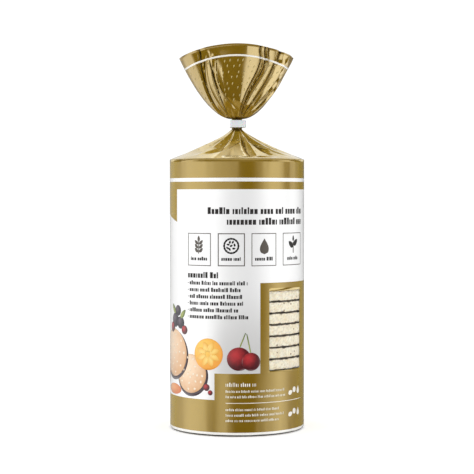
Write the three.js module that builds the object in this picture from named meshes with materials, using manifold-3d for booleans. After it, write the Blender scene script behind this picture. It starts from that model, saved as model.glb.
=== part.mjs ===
// A shut film pack of puffed rice cakes. The film stands as a round sleeve over the stack, runs in
// over the top cake as a pleated cone, is pinched to a neck by a clip band, and fans out above it
// as an open ruffle. A clear window in the side of the print shows the edges of seven cakes.
//
// Millimetres, +Z up. The origin is the middle of the flat base. Angles turn from the front (-Y)
// towards +X, so a point at angle a and radius r is (r sin a, -r cos a).
import * as THREE from "three";
import { mergeVertices } from "three/addons/utils/BufferGeometryUtils.js";
import Module from "manifold-3d";

// ---- Driving dimensions -------------------------------------------------------------------

const BODY_RADIUS = 46;
const BODY_HEIGHT = 181; // base to the rim where the film turns in over the top cake
const BASE_EDGE_RADIUS = 1.6;
const FILM_WALL = 1; // the film itself is far thinner: this is what the solid gives it

const CONE_RISE = 20.5; // rim of the body to the foot of the neck, without the turned edge
const TOP_EDGE_RISE = 2; // the rounded edge of the top cake under the film
const NECK_RADIUS = 3.4;
const NECK_HEIGHT = 7;

const RUFFLE_HALF_WIDTH = 39.3; // across, at the rim
const RUFFLE_HALF_DEPTH = 27; // front to back, at the rim
const RUFFLE_HEIGHT = 41; // neck to the rim at the two sides
const RIM_ARCH = 8; // how much higher the rim stands in the middle of its width
const FAN_POWER = 0.54; // of the height, by which the ruffle opens

const CAKE_COUNT = 7; // the cakes that the window shows
const CAKE_PITCH = 7.6;
const CAKE_RADIUS = 44.3;
const CAKE_EDGE_ROUND = 1.3;
const GRAIN_RELIEF = 0.4; // how far a puffed grain stands in or out at the side of a cake

const WINDOW_LOW = 42.7; // height of the window's lower edge
const WINDOW_HEIGHT = 52.6;
const WINDOW_FROM = 28.8; // degrees
const WINDOW_TO = 69.7;

const CLIP_HEIGHT = 6;
const CLIP_WIDTH = 10;
const CLIP_SHIFT = 0.4; // the clip sits a little to the right of the neck
const CLIP_DEPTH = 9.2;
const CLIP_WALL = 0.8;
const CLIP_CORNER = 1.4;
const CLIP_END = 5.2; // length of the strip's loose end, lapped over one side
const GAP = 0.3; // between neighbours

const AROUND = 96; // segments round the film
const CAKE_AROUND = 48;

// Heights that follow from the sizes above.
const NECK_LOW = BODY_HEIGHT + TOP_EDGE_RISE + CONE_RISE;
const RUFFLE_FOOT = NECK_LOW + NECK_HEIGHT;

// Pleats of the cone and of the ruffle: the middle of each fold, its depth as a share of the local
// radius or in millimetres, the half width of its steep side and that of its long side in degrees.
const CONE_PLEATS = [
  { at: -78, depth: 1.7, steep: 7, long: 20 },
  { at: -47, depth: 2.2, steep: 8, long: 22 },
  { at: -20, depth: 1.3, steep: 7, long: 16 },
  { at: 14, depth: 2.3, steep: 8, long: 18 },
  { at: 38, depth: 1.9, steep: 7, long: 17 },
  { at: 66, depth: 1.5, steep: 8, long: 20 },
  { at: 97, depth: 2.1, steep: 8, long: 22 },
  { at: 128, depth: 1.6, steep: 7, long: 18 },
  { at: 157, depth: 2.3, steep: 8, long: 22 },
  { at: -170, depth: 1.5, steep: 7, long: 18 },
  { at: -138, depth: 2.1, steep: 8, long: 22 },
  { at: -108, depth: 1.4, steep: 7, long: 18 },
];
const RUFFLE_PLEATS = [
  { at: -72, depth: 0.06, steep: 7, long: 12 },
  { at: -46, depth: 0.14, steep: 7, long: 13 },
  { at: 36, depth: 0.07, steep: 5, long: 10 },
  { at: 48, depth: 0.12, steep: 6, long: 9 },
  { at: 62, depth: 0.13, steep: 7, long: 10 },
  { at: 78, depth: 0.08, steep: 7, long: 9 },
  { at: 98, depth: 0.11, steep: 8, long: 13 },
  { at: 122, depth: 0.14, steep: 8, long: 15 },
  { at: 150, depth: 0.17, steep: 8, long: 16 },
  { at: 178, depth: 0.1, steep: 8, long: 14 },
  { at: -153, depth: 0.16, steep: 8, long: 16 },
  { at: -122, depth: 0.13, steep: 8, long: 15 },
  { at: -95, depth: 0.1, steep: 8, long: 14 },
];

const radians = THREE.MathUtils.degToRad;
const smooth = THREE.MathUtils.smoothstep;

// ---- The film's form ----------------------------------------------------------------------

// Sum of the pleats at an angle. A pleat falls in a straight line to its bottom, quickly on its
// steep side and slowly on its long side, so the film seems to lap over itself there.
function pleatDepth(pleats, degrees) {
  let sum = 0;
  for (const { at, depth, steep, long } of pleats) {
    const off = THREE.MathUtils.euclideanModulo(degrees - at + 180, 360) - 180;
    sum += depth * Math.max(0, 1 - (off < 0 ? -off / long : off / steep));
  }
  return sum;
}

// A point [radius, height] of the cone, at share w of the way in from the body's rim to the neck.
// It turns in over the edge of the top cake, climbs in a straight line and flares up at the neck.
function conePoint(w, degrees) {
  const edge = TOP_EDGE_RISE * (1 - Math.exp(-w / 0.05));
  const climb = CONE_RISE * (0.9 * w + 0.1 * w ** 9);
  const fold = pleatDepth(CONE_PLEATS, degrees) * smooth(w, 0.04, 0.5) * (1 - smooth(w, 0.62, 1));
  const radius = BODY_RADIUS + (NECK_RADIUS - BODY_RADIUS) * w;
  return [radius - 0.35 * fold, BODY_HEIGHT + edge + climb - fold];
}

// A point [radius, height] of the ruffle, at share h of its height. The fan opens as a power of the
// height, to an oval rim that is cut to an arch: it stands highest in the middle of its width.
function rufflePoint(h, degrees) {
  const a = radians(degrees);
  const rim = 1 / Math.hypot(Math.sin(a) / RUFFLE_HALF_WIDTH, Math.cos(a) / RUFFLE_HALF_DEPTH);
  const fold = pleatDepth(RUFFLE_PLEATS, degrees);
  const share = fold * (1.5 - 0.8 * h) * smooth(h, 0, 0.06);
  const radius = NECK_RADIUS + (rim - NECK_RADIUS) * h ** FAN_POWER;
  const across = (rim * (1 - 0.7 * fold) * Math.sin(a)) / RUFFLE_HALF_WIDTH;
  const height = (RUFFLE_HEIGHT + RIM_ARCH * (1 - across ** 2)) * h;
  return [radius * (1 - share), RUFFLE_FOOT + height];
}

// The inner side of the ruffle: the outer point moved square to the profile by the film's wall.
function ruffleInnerPoint(h, degrees) {
  const step = 0.01;
  const [r0, z0] = rufflePoint(h - step, degrees);
  const [r1, z1] = rufflePoint(Math.min(1, h + step), degrees);
  const [r, z] = rufflePoint(h, degrees);
  const length = Math.hypot(r1 - r0, z1 - z0);
  return [r - (FILM_WALL * (z1 - z0)) / length, z + (FILM_WALL * (r1 - r0)) / length];
}

// ---- Solids from rings --------------------------------------------------------------------

// A closed solid from rings of points that run round the axis. Each ring is a function of the
// angle in degrees that gives [radius, height]. A point on the axis closes each end.
function solidOfRings(firstHeight, rings, lastHeight, around) {
  const positions = [0, 0, firstHeight];
  for (const ring of rings) {
    for (let j = 0; j < around; j++) {
      const degrees = (360 * j) / around;
      const [radius, height] = ring(degrees, j);
      const a = radians(degrees);
      positions.push(radius * Math.sin(a), -radius * Math.cos(a), height);
    }
  }
  const last = positions.length / 3;
  positions.push(0, 0, lastHeight);

  const index = [];
  const at = (i, j) => 1 + i * around + (j % around);
  for (let j = 0; j < around; j++) {
    index.push(0, at(0, j + 1), at(0, j));
    for (let i = 0; i + 1 < rings.length; i++) {
      index.push(at(i, j), at(i, j + 1), at(i + 1, j + 1));
      index.push(at(i, j), at(i + 1, j + 1), at(i + 1, j));
    }
    index.push(at(rings.length - 1, j), at(rings.length - 1, j + 1), last);
  }
  const geometry = new THREE.BufferGeometry();
  geometry.setAttribute("position", new THREE.Float32BufferAttribute(positions, 3));
  geometry.setIndex(index);
  return geometry;
}

// The pack without its hollow: base, wall, cone, neck, and the ruffle's two sides.
function filmGeometry() {
  const rings = [];
  for (const turn of [0, 30, 60, 90]) {
    const a = radians(turn);
    const radius = BODY_RADIUS - BASE_EDGE_RADIUS * (1 - Math.sin(a));
    const height = BASE_EDGE_RADIUS * (1 - Math.cos(a));
    rings.push(() => [radius, height]);
  }
  for (const w of [0, 0.02, 0.06, 0.13, 0.23, 0.36, 0.5, 0.64, 0.78, 0.9, 1])
    rings.push((degrees) => conePoint(w, degrees));
  const steps = 11;
  for (let i = 0; i <= steps; i++)
    rings.push((degrees) => rufflePoint((i / steps) ** 1.7, degrees));
  for (let i = steps; i >= 3; i--)
    rings.push((degrees) => ruffleInnerPoint((i / steps) ** 1.7, degrees));
  return solidOfRings(0, rings, RUFFLE_FOOT + 2 * FILM_WALL, AROUND);
}

// ---- Cutting the window -------------------------------------------------------------------

const wasm = await Module();
wasm.setup();

// A three.js geometry as a manifold-3d solid.
function manifoldOf(geometry) {
  const bare = geometry.clone();
  bare.deleteAttribute("normal");
  bare.deleteAttribute("uv");
  const merged = mergeVertices(bare, 1e-4);
  return new wasm.Manifold(
    new wasm.Mesh({
      numProp: 3,
      vertProperties: new Float32Array(merged.attributes.position.array),
      triVerts: new Uint32Array(merged.index.array),
    }),
  );
}

// A manifold-3d solid as a three.js geometry.
function geometryOf(solid) {
  const mesh = solid.getMesh();
  const geometry = new THREE.BufferGeometry();
  geometry.setAttribute("position", new THREE.Float32BufferAttribute(mesh.vertProperties, 3));
  geometry.setIndex(new THREE.BufferAttribute(mesh.triVerts, 1));
  return geometry;
}

// The round room behind the window that the seven cakes fill.
function cakeRoomGeometry() {
  const low = WINDOW_LOW - GAP / 2;
  const high = WINDOW_LOW + CAKE_COUNT * CAKE_PITCH + GAP / 2;
  const wall = () => BODY_RADIUS - FILM_WALL;
  return solidOfRings(low, [() => [wall(), low], () => [wall(), high]], high, AROUND);
}

// A block with a curved front and back that cuts the window through the wall.
function windowCutterGeometry() {
  const outline = new THREE.Shape();
  const from = radians(WINDOW_FROM - 90);
  const to = radians(WINDOW_TO - 90);
  const inner = BODY_RADIUS - 3 * FILM_WALL;
  outline.absarc(0, 0, BODY_RADIUS + FILM_WALL, from, to, false);
  outline.absarc(0, 0, inner, to, from, true);
  const block = new THREE.ExtrudeGeometry(outline, {
    depth: WINDOW_HEIGHT,
    bevelEnabled: false,
    curveSegments: 12,
  });
  return block.translate(0, 0, WINDOW_LOW);
}

function filmBagGeometry() {
  return geometryOf(
    manifoldOf(filmGeometry())
      .subtract(manifoldOf(cakeRoomGeometry()))
      .subtract(manifoldOf(windowCutterGeometry())),
  );
}

// ---- Cakes and clip -----------------------------------------------------------------------

// A repeatable random number from 0 to 1 for one corner of one cake.
function draw(cake, row, corner) {
  const wave = Math.sin(12.9898 * corner + 78.233 * cake + 37.719 * row) * 43758.5453;
  return wave - Math.floor(wave);
}

// One puffed cake: a flat disc with rounded edges, whose side is uneven with grains.
function cakeGeometry(cake) {
  const low = WINDOW_LOW + cake * CAKE_PITCH + GAP / 2;
  const high = low + CAKE_PITCH - GAP;
  const stations = [
    [CAKE_RADIUS - CAKE_EDGE_ROUND, low],
    [CAKE_RADIUS, low + CAKE_EDGE_ROUND],
    [CAKE_RADIUS + 0.1, (low + high) / 2],
    [CAKE_RADIUS, high - CAKE_EDGE_ROUND],
    [CAKE_RADIUS - CAKE_EDGE_ROUND, high],
  ];
  const rings = stations.map(([radius, height], row) => (degrees, corner) => [
    radius + GRAIN_RELIEF * (draw(cake, row, corner) - 0.5),
    height,
  ]);
  return solidOfRings(low, rings, high, CAKE_AROUND);
}

// A rectangle with rounded corners about the axis, as a closed outline.
function roundedOutline(shape, halfX, halfY, corner) {
  shape.moveTo(halfX, corner - halfY);
  shape.lineTo(halfX, halfY - corner);
  shape.absarc(halfX - corner, halfY - corner, corner, 0, Math.PI / 2, false);
  shape.lineTo(corner - halfX, halfY);
  shape.absarc(corner - halfX, halfY - corner, corner, Math.PI / 2, Math.PI, false);
  shape.lineTo(-halfX, corner - halfY);
  shape.absarc(corner - halfX, corner - halfY, corner, Math.PI, 1.5 * Math.PI, false);
  shape.lineTo(halfX - corner, -halfY);
  shape.absarc(halfX - corner, corner - halfY, corner, 1.5 * Math.PI, 2 * Math.PI, false);
  return shape;
}

// The strip wrapped round the neck, with its loose end lapped over the right-hand side.
function clipBandGeometry() {
  const low = NECK_LOW + (NECK_HEIGHT - CLIP_HEIGHT) / 2;
  const halfX = CLIP_WIDTH / 2;
  const halfY = CLIP_DEPTH / 2;
  const sleeve = roundedOutline(new THREE.Shape(), halfX, halfY, CLIP_CORNER);
  const hole = roundedOutline(
    new THREE.Path(),
    halfX - CLIP_WALL,
    halfY - CLIP_WALL,
    CLIP_CORNER - CLIP_WALL / 2,
  );
  sleeve.holes.push(hole);
  const band = new THREE.ExtrudeGeometry(sleeve, {
    depth: CLIP_HEIGHT,
    bevelEnabled: false,
    curveSegments: 4,
  }).translate(0, 0, low);
  const end = new THREE.BoxGeometry(2 * CLIP_WALL, CLIP_END, CLIP_HEIGHT - 2 * GAP);
  end.translate(halfX, -GAP, low + CLIP_HEIGHT / 2);
  return geometryOf(manifoldOf(band).add(manifoldOf(end))).translate(CLIP_SHIFT, 0, 0);
}

// ---- The pack -----------------------------------------------------------------------------

const goldFilm = new THREE.MeshStandardMaterial({ color: 0xa58845, roughness: 0.3, metalness: 0.6 });
const puffedRice = new THREE.MeshStandardMaterial({ color: 0xf3e8cd, roughness: 0.9, metalness: 0 });
const whiteStrip = new THREE.MeshStandardMaterial({ color: 0xe9edf2, roughness: 0.4, metalness: 0 });

function named(name, geometry, material) {
  const mesh = new THREE.Mesh(geometry, material);
  mesh.name = name;
  return mesh;
}

const pack = new THREE.Group();
pack.add(named("film_bag", filmBagGeometry(), goldFilm));
for (let cake = 0; cake < CAKE_COUNT; cake++)
  pack.add(named(`rice_cake_${cake + 1}`, cakeGeometry(cake), puffedRice));
pack.add(named("clip_band", clipBandGeometry(), whiteStrip));

export default pack;
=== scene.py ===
"""Studio model of a shut film pack of puffed rice cakes.

A printed film stands as a round sleeve over a stack of cakes, turns in over the top one as a
pleated cone, is pinched to a neck by a clip band and fans out above it as an open ruffle. A clear
window in the print shows the edges of seven cakes.

Shapes are worked out in millimetres, +Z up, with the origin in the middle of the flat base, and
are written into the meshes in metres. Angles are in degrees and turn from the front (-Y) towards
+X, so a point at angle a and radius r is (r sin a, -r cos a).
"""

import logging
import math
from dataclasses import dataclass, field
from enum import IntEnum
from typing import Callable, Iterable, Sequence

import bpy
import numpy as np
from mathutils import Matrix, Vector
from numpy.typing import NDArray


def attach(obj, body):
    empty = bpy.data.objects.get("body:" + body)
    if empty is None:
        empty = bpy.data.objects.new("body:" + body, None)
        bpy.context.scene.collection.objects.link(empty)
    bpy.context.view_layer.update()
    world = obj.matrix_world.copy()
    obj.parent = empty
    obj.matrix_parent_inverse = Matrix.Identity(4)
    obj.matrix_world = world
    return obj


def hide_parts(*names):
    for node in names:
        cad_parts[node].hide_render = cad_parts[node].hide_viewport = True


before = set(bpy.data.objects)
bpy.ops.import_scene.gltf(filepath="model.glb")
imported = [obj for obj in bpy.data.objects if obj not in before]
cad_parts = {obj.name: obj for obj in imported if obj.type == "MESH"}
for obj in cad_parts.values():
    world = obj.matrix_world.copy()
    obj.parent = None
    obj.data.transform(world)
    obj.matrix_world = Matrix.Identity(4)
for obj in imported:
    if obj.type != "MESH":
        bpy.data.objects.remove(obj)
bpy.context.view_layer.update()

LOG = logging.getLogger("rice_cake_pack")

Array = NDArray[np.float64]
Whole = NDArray[np.int64]
Mask = NDArray[np.bool_]
Colour = tuple[float, float, float]
Span = tuple[float, float]
Spot = tuple[float, float]  # an angle and a height on the sleeve
Material = bpy.types.Material
Node = bpy.types.Node
Socket = bpy.types.NodeSocket
Tree = bpy.types.NodeTree

Outline = Callable[[Array], Array]  # half width of a shape at each place of its length

MM = 0.001  # metres in a millimetre
ROOT = "root"
MATERIALS: dict[str, Material] = {}  # by the names of the finishes


# ---- Small maths ----


def smooth(x: Array | float, low: float, high: float) -> Array:
    """Cubic step: 0 below low, 1 above high, 3t^2 - 2t^3 between them.

    Args:
        x: Values to step.
        low: Where the step starts.
        high: Where the step ends.

    Returns:
        The stepped values, from 0 to 1.
    """
    t = np.clip((np.asarray(x, float) - low) / (high - low), 0.0, 1.0)
    return t * t * (3.0 - 2.0 * t)


def ripple(degrees: Array, waves: Sequence[int], seed: int) -> Array:
    """Sum of cosines of whole numbers of waves round the axis, scaled to about -1 to 1.

    Args:
        degrees: Angles round the axis.
        waves: How many waves each cosine has in a full turn.
        seed: Seed of the cosines' phases.

    Returns:
        The sum at each angle.
    """
    phases = np.random.default_rng(seed).uniform(0.0, 2.0 * math.pi, len(waves))
    total = sum(np.cos(np.radians(degrees) * m + p) for m, p in zip(waves, phases))
    return total / math.sqrt(len(waves))


def round_axis(degrees: Array, radius: Array, height: Array) -> Array:
    """Points at angles round the axis, at a radius and a height."""
    a = np.radians(degrees)
    return np.stack((radius * np.sin(a), -radius * np.cos(a), height), axis=-1)


def spread_lines(low: float, high: float, step: float, marks: Iterable[float]) -> Array:
    """Grid lines at about even steps, with the nearest line moved onto each mark.

    Args:
        low: First line.
        high: Last line.
        step: About how far apart the lines are.
        marks: Values that must be lines.

    Returns:
        The lines in rising order.
    """
    lines = np.linspace(low, high, max(2, round((high - low) / step) + 1))
    for mark in marks:
        inner = np.abs(lines[1:-1] - mark)
        lines[1 + int(inner.argmin())] = mark
    return lines


# ---- The film's form ----


class Zone(IntEnum):
    """Stretches of the film from the middle of the base up to the rim of the ruffle.

    A place on the film is an angle and a track: the zone's number plus the share of the zone.
    """

    BASE = 0
    EDGE = 1
    SIDE = 2
    CONE = 3
    NECK = 4
    RUFFLE = 5


@dataclass(frozen=True)
class Pleat:
    """One fold of the film: its middle, its depth, and the half widths of its two sides.

    It runs from low to high, as shares of the cone's length, and turns by its lean in degrees
    over the whole of that length.
    """

    at: float
    depth: float
    steep: float
    long: float
    low: float = -1.0
    high: float = 2.0
    lean: float = 0.0


CONE_PLEATS = tuple(Pleat(*row) for row in (
    (-78, 1.7, 7, 20), (-47, 2.2, 8, 22), (-20, 1.3, 7, 16), (14, 2.3, 8, 18),
    (38, 1.9, 7, 17), (66, 1.5, 8, 20), (97, 2.1, 8, 22), (128, 1.6, 7, 18),
    (157, 2.3, 8, 22), (-170, 1.5, 7, 18), (-138, 2.1, 8, 22), (-108, 1.4, 7, 18),
))
# Creases between the pleats, finer than the solid's.
CONE_CREASES = tuple(Pleat(*row) for row in (
    (-85, 0.5, 3, 9, 0.1, 0.95, 10), (-43, 0.9, 2.5, 13, -0.25, 0.75, 72),
    (8, 0.9, 2.5, 9, 0.3, 1.1, 12), (60, 0.8, 3, 11, -0.1, 0.95, -37),
    (83, 0.5, 3, 9, 0.1, 0.9, -12), (112, 0.8, 3, 10, 0.05, 0.9, 30),
    (141, 0.7, 3, 9, 0.25, 1.0, -10), (168, 0.9, 3, 11, 0.0, 0.85, 45),
    (-158, 0.7, 3, 9, 0.2, 1.0, 12), (-132, 1.0, 3, 11, -0.1, 0.9, -35),
    (-105, 0.6, 2, 8, 0.3, 1.1, 5),
))
# Folds of the ruffle: the angle of each line of folding at four levels of the ruffle's height, and
# how deep the film lies there as shares of the radius. Straight lines join the folds.
RUFFLE_LEVELS = (0.1, 0.4, 0.68, 0.92)
RUFFLE_FOLDS = (
    ((-162, -166, -170, -172), (0, 0, 0, 0)),
    ((-155, -159, -163, -165), (0.13, 0.12, 0.09, 0.07)),
    ((-151, -155, -159, -161), (0.02, 0.01, 0, 0)),
    ((-139, -143, -147, -149), (0, 0, 0, 0)),
    ((-132, -136, -140, -142), (0.14, 0.12, 0.09, 0.06)),
    ((-127, -131, -135, -137), (0.01, 0.01, 0.01, 0)),
    ((-114, -118, -122, -124), (0, 0, 0, 0)),
    ((-107, -111, -115, -117), (0.12, 0.11, 0.08, 0.06)),
    ((-102, -106, -110, -112), (0.03, 0.02, 0.01, 0)),
    ((-97, -99, -101, -102), (0.09, 0.08, 0.05, 0.04)),
    ((-92, -94, -96, -97), (0, 0, 0, 0)),
    ((-75, -65, -60, -54), (0, 0, 0, -0.005)),
    ((-70, -62.5, -57.5, -52.2), (0.1, 0.06, 0.03, 0.02)),
    ((-53, -55.5, -51.5, -44), (0.12, 0.06, 0.03, 0)),
    ((-51, -53.8, -50, -42.6), (0.03, -0.04, -0.02, 0)),
    ((-48, -49.5, -46.8, -41.4), (0.01, -0.07, -0.035, 0)),
    ((-44.5, -45, -43.8, -40.2), (0.055, 0, 0.015, 0)),
    ((-43, -43.8, -43, -39), (0.12, 0.06, 0.03, 0)),
    ((-39, -42, -40.5, -36), (0.12, 0.06, 0.03, 0.005)),
    ((-4.6, -37, -37, -33), (0.03, 0.02, 0.005, 0.012)),
    ((1.9, -35.5, -35.6, -31.5), (0.057, 0.035, 0.02, 0.016)),
    ((4.6, -33.3, -34, -30), (0.06, 0.04, 0.025, 0.02)),
    ((7.2, -26, -25, -24), (0.03, 0.02, 0.01, 0.03)),
    ((9, 10, 15, 15), (0, 0, 0, 0)),
    ((10.5, 21, 33, 31), (0, 0, 0, 0)),
    ((11.5, 22.4, 33.9, 31.6), (0.03, 0.03, 0.03, 0.012)),
    ((12.8, 23.8, 35.4, 33.1), (0.03, 0.03, 0.04, 0.03)),
    ((14.3, 25.5, 37, 34.6), (-0.02, -0.02, -0.015, -0.005)),
    ((16.0, 27.6, 38.9, 36.6), (0.05, 0.04, 0.03, 0.01)),
    ((20.6, 33.4, 44.7, 40.4), (0.075, 0.09, 0.075, 0.035)),
    ((22.4, 35.4, 46.4, 42), (-0.01, -0.005, -0.015, -0.015)),
    ((24.6, 37.6, 48.3, 44.0), (0.15, 0.14, 0.11, 0.07)),
    ((27, 40, 50.5, 45.5), (0.1, 0.09, 0.07, 0.02)),
    ((32, 47, 54, 53), (0.07, 0.06, 0.045, -0.012)),
    ((37.6, 53.1, 58.2, 55.5), (0.11, 0.1, 0.065, 0)),
    ((38.5, 54, 59, 59.5), (0.02, 0.02, 0.01, 0.05)),
    ((48, 62, 69, 63), (0, 0, -0.005, -0.005)),
    ((51, 65, 71.5, 66), (0.09, 0.09, 0.01, -0.012)),
    ((58, 70.5, 77, 71), (0.01, 0.01, 0.015, -0.018)),
    ((61, 76, 82, 76), (0.08, 0.06, 0.025, 0)),
    ((68, 81, 87, 80), (0.01, 0.01, 0.03, 0.02)),
    ((90, 94, 98, 100), (0.06, 0.05, 0.03, 0.02)),
    ((100, 104, 108, 110), (0, 0, 0, 0)),
    ((108, 112, 116, 118), (0.12, 0.11, 0.09, 0.06)),
    ((112, 116, 120, 122), (0.02, 0.02, 0.01, 0)),
    ((126, 130, 134, 136), (0, 0, 0, 0)),
    ((134, 138, 142, 144), (0.14, 0.12, 0.09, 0.07)),
    ((139, 143, 147, 149), (0.02, 0.01, 0, 0)),
    ((152, 156, 160, 162), (0, 0, 0, 0)),
    ((160, 164, 168, 170), (0.12, 0.11, 0.08, 0.05)),
    ((165, 169, 173, 175), (0.02, 0.01, 0, 0)),
)


def fold_lines(share: Array) -> tuple[Array, Array]:
    """Angles and depths of the ruffle's lines of folding at each share of its height.

    A cubic, as Lagrange wrote it, goes through the four levels; below the lowest they stay.

    Args:
        share: Shares of the ruffle's height.

    Returns:
        Angles and depths, each with a last axis of one value for each line.
    """
    table = np.array(RUFFLE_FOLDS)
    share = np.clip(share, RUFFLE_LEVELS[0], RUFFLE_LEVELS[-1])
    lines = np.zeros(share.shape + (len(table), 2))
    for number, level in enumerate(RUFFLE_LEVELS):
        others = [other for other in RUFFLE_LEVELS if other != level]
        weight = math.prod((share - other) / (level - other) for other in others)
        lines += weight[..., None, None] * table[:, :, number]
    return lines[..., 0], lines[..., 1]


def fold_depth(degrees: Array, share: Array) -> Array:
    """Depth of the ruffle's folds at each place, on straight lines from fold to fold.

    Args:
        degrees: Angles round the axis.
        share: Shares of the ruffle's height.

    Returns:
        Depths as shares of the radius.
    """
    angles, depths = fold_lines(share)
    around = (degrees - angles[..., 0]) % 360.0 + angles[..., 0]
    before = (angles <= around[..., None]).sum(axis=-1, keepdims=True) - 1
    after = (before + 1) % angles.shape[-1]
    low, high = (np.take_along_axis(angles, pick, -1)[..., 0] for pick in (before, after))
    start, stop = (np.take_along_axis(depths, pick, -1)[..., 0] for pick in (before, after))
    part = (around - low) / np.maximum((high - low) % 360.0, 1e-6)
    return start + (stop - start) * np.clip(part, 0.0, 1.0)


def pleat_depth(pleats: Sequence[Pleat], degrees: Array, share: Array,
                soft: bool = False) -> Array:
    """Sum of the pleats at each place.

    A pleat falls to its bottom over its steep half width on one side and over its long half
    width on the other, in a straight line or by a smooth step, and fades out at its two ends.

    Args:
        pleats: The folds.
        degrees: Angles round the axis.
        share: Shares of the cone's length.
        soft: True for the smooth step.

    Returns:
        The summed depth at each angle.
    """
    total = np.zeros_like(degrees)
    for pleat in pleats:
        off = (degrees - pleat.at - pleat.lean * share + 180.0) % 360.0 - 180.0
        fall = np.where(off < 0.0, -off / pleat.long, off / pleat.steep)
        ends = smooth(share, pleat.low, pleat.low + 0.25)
        ends = ends * (1.0 - smooth(share, pleat.high - 0.25, pleat.high))
        drop_in = np.maximum(0.0, 1.0 - fall)
        if soft:
            drop_in = drop_in * drop_in * (3.0 - 2.0 * drop_in)
        total += pleat.depth * drop_in * ends
    return total


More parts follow.
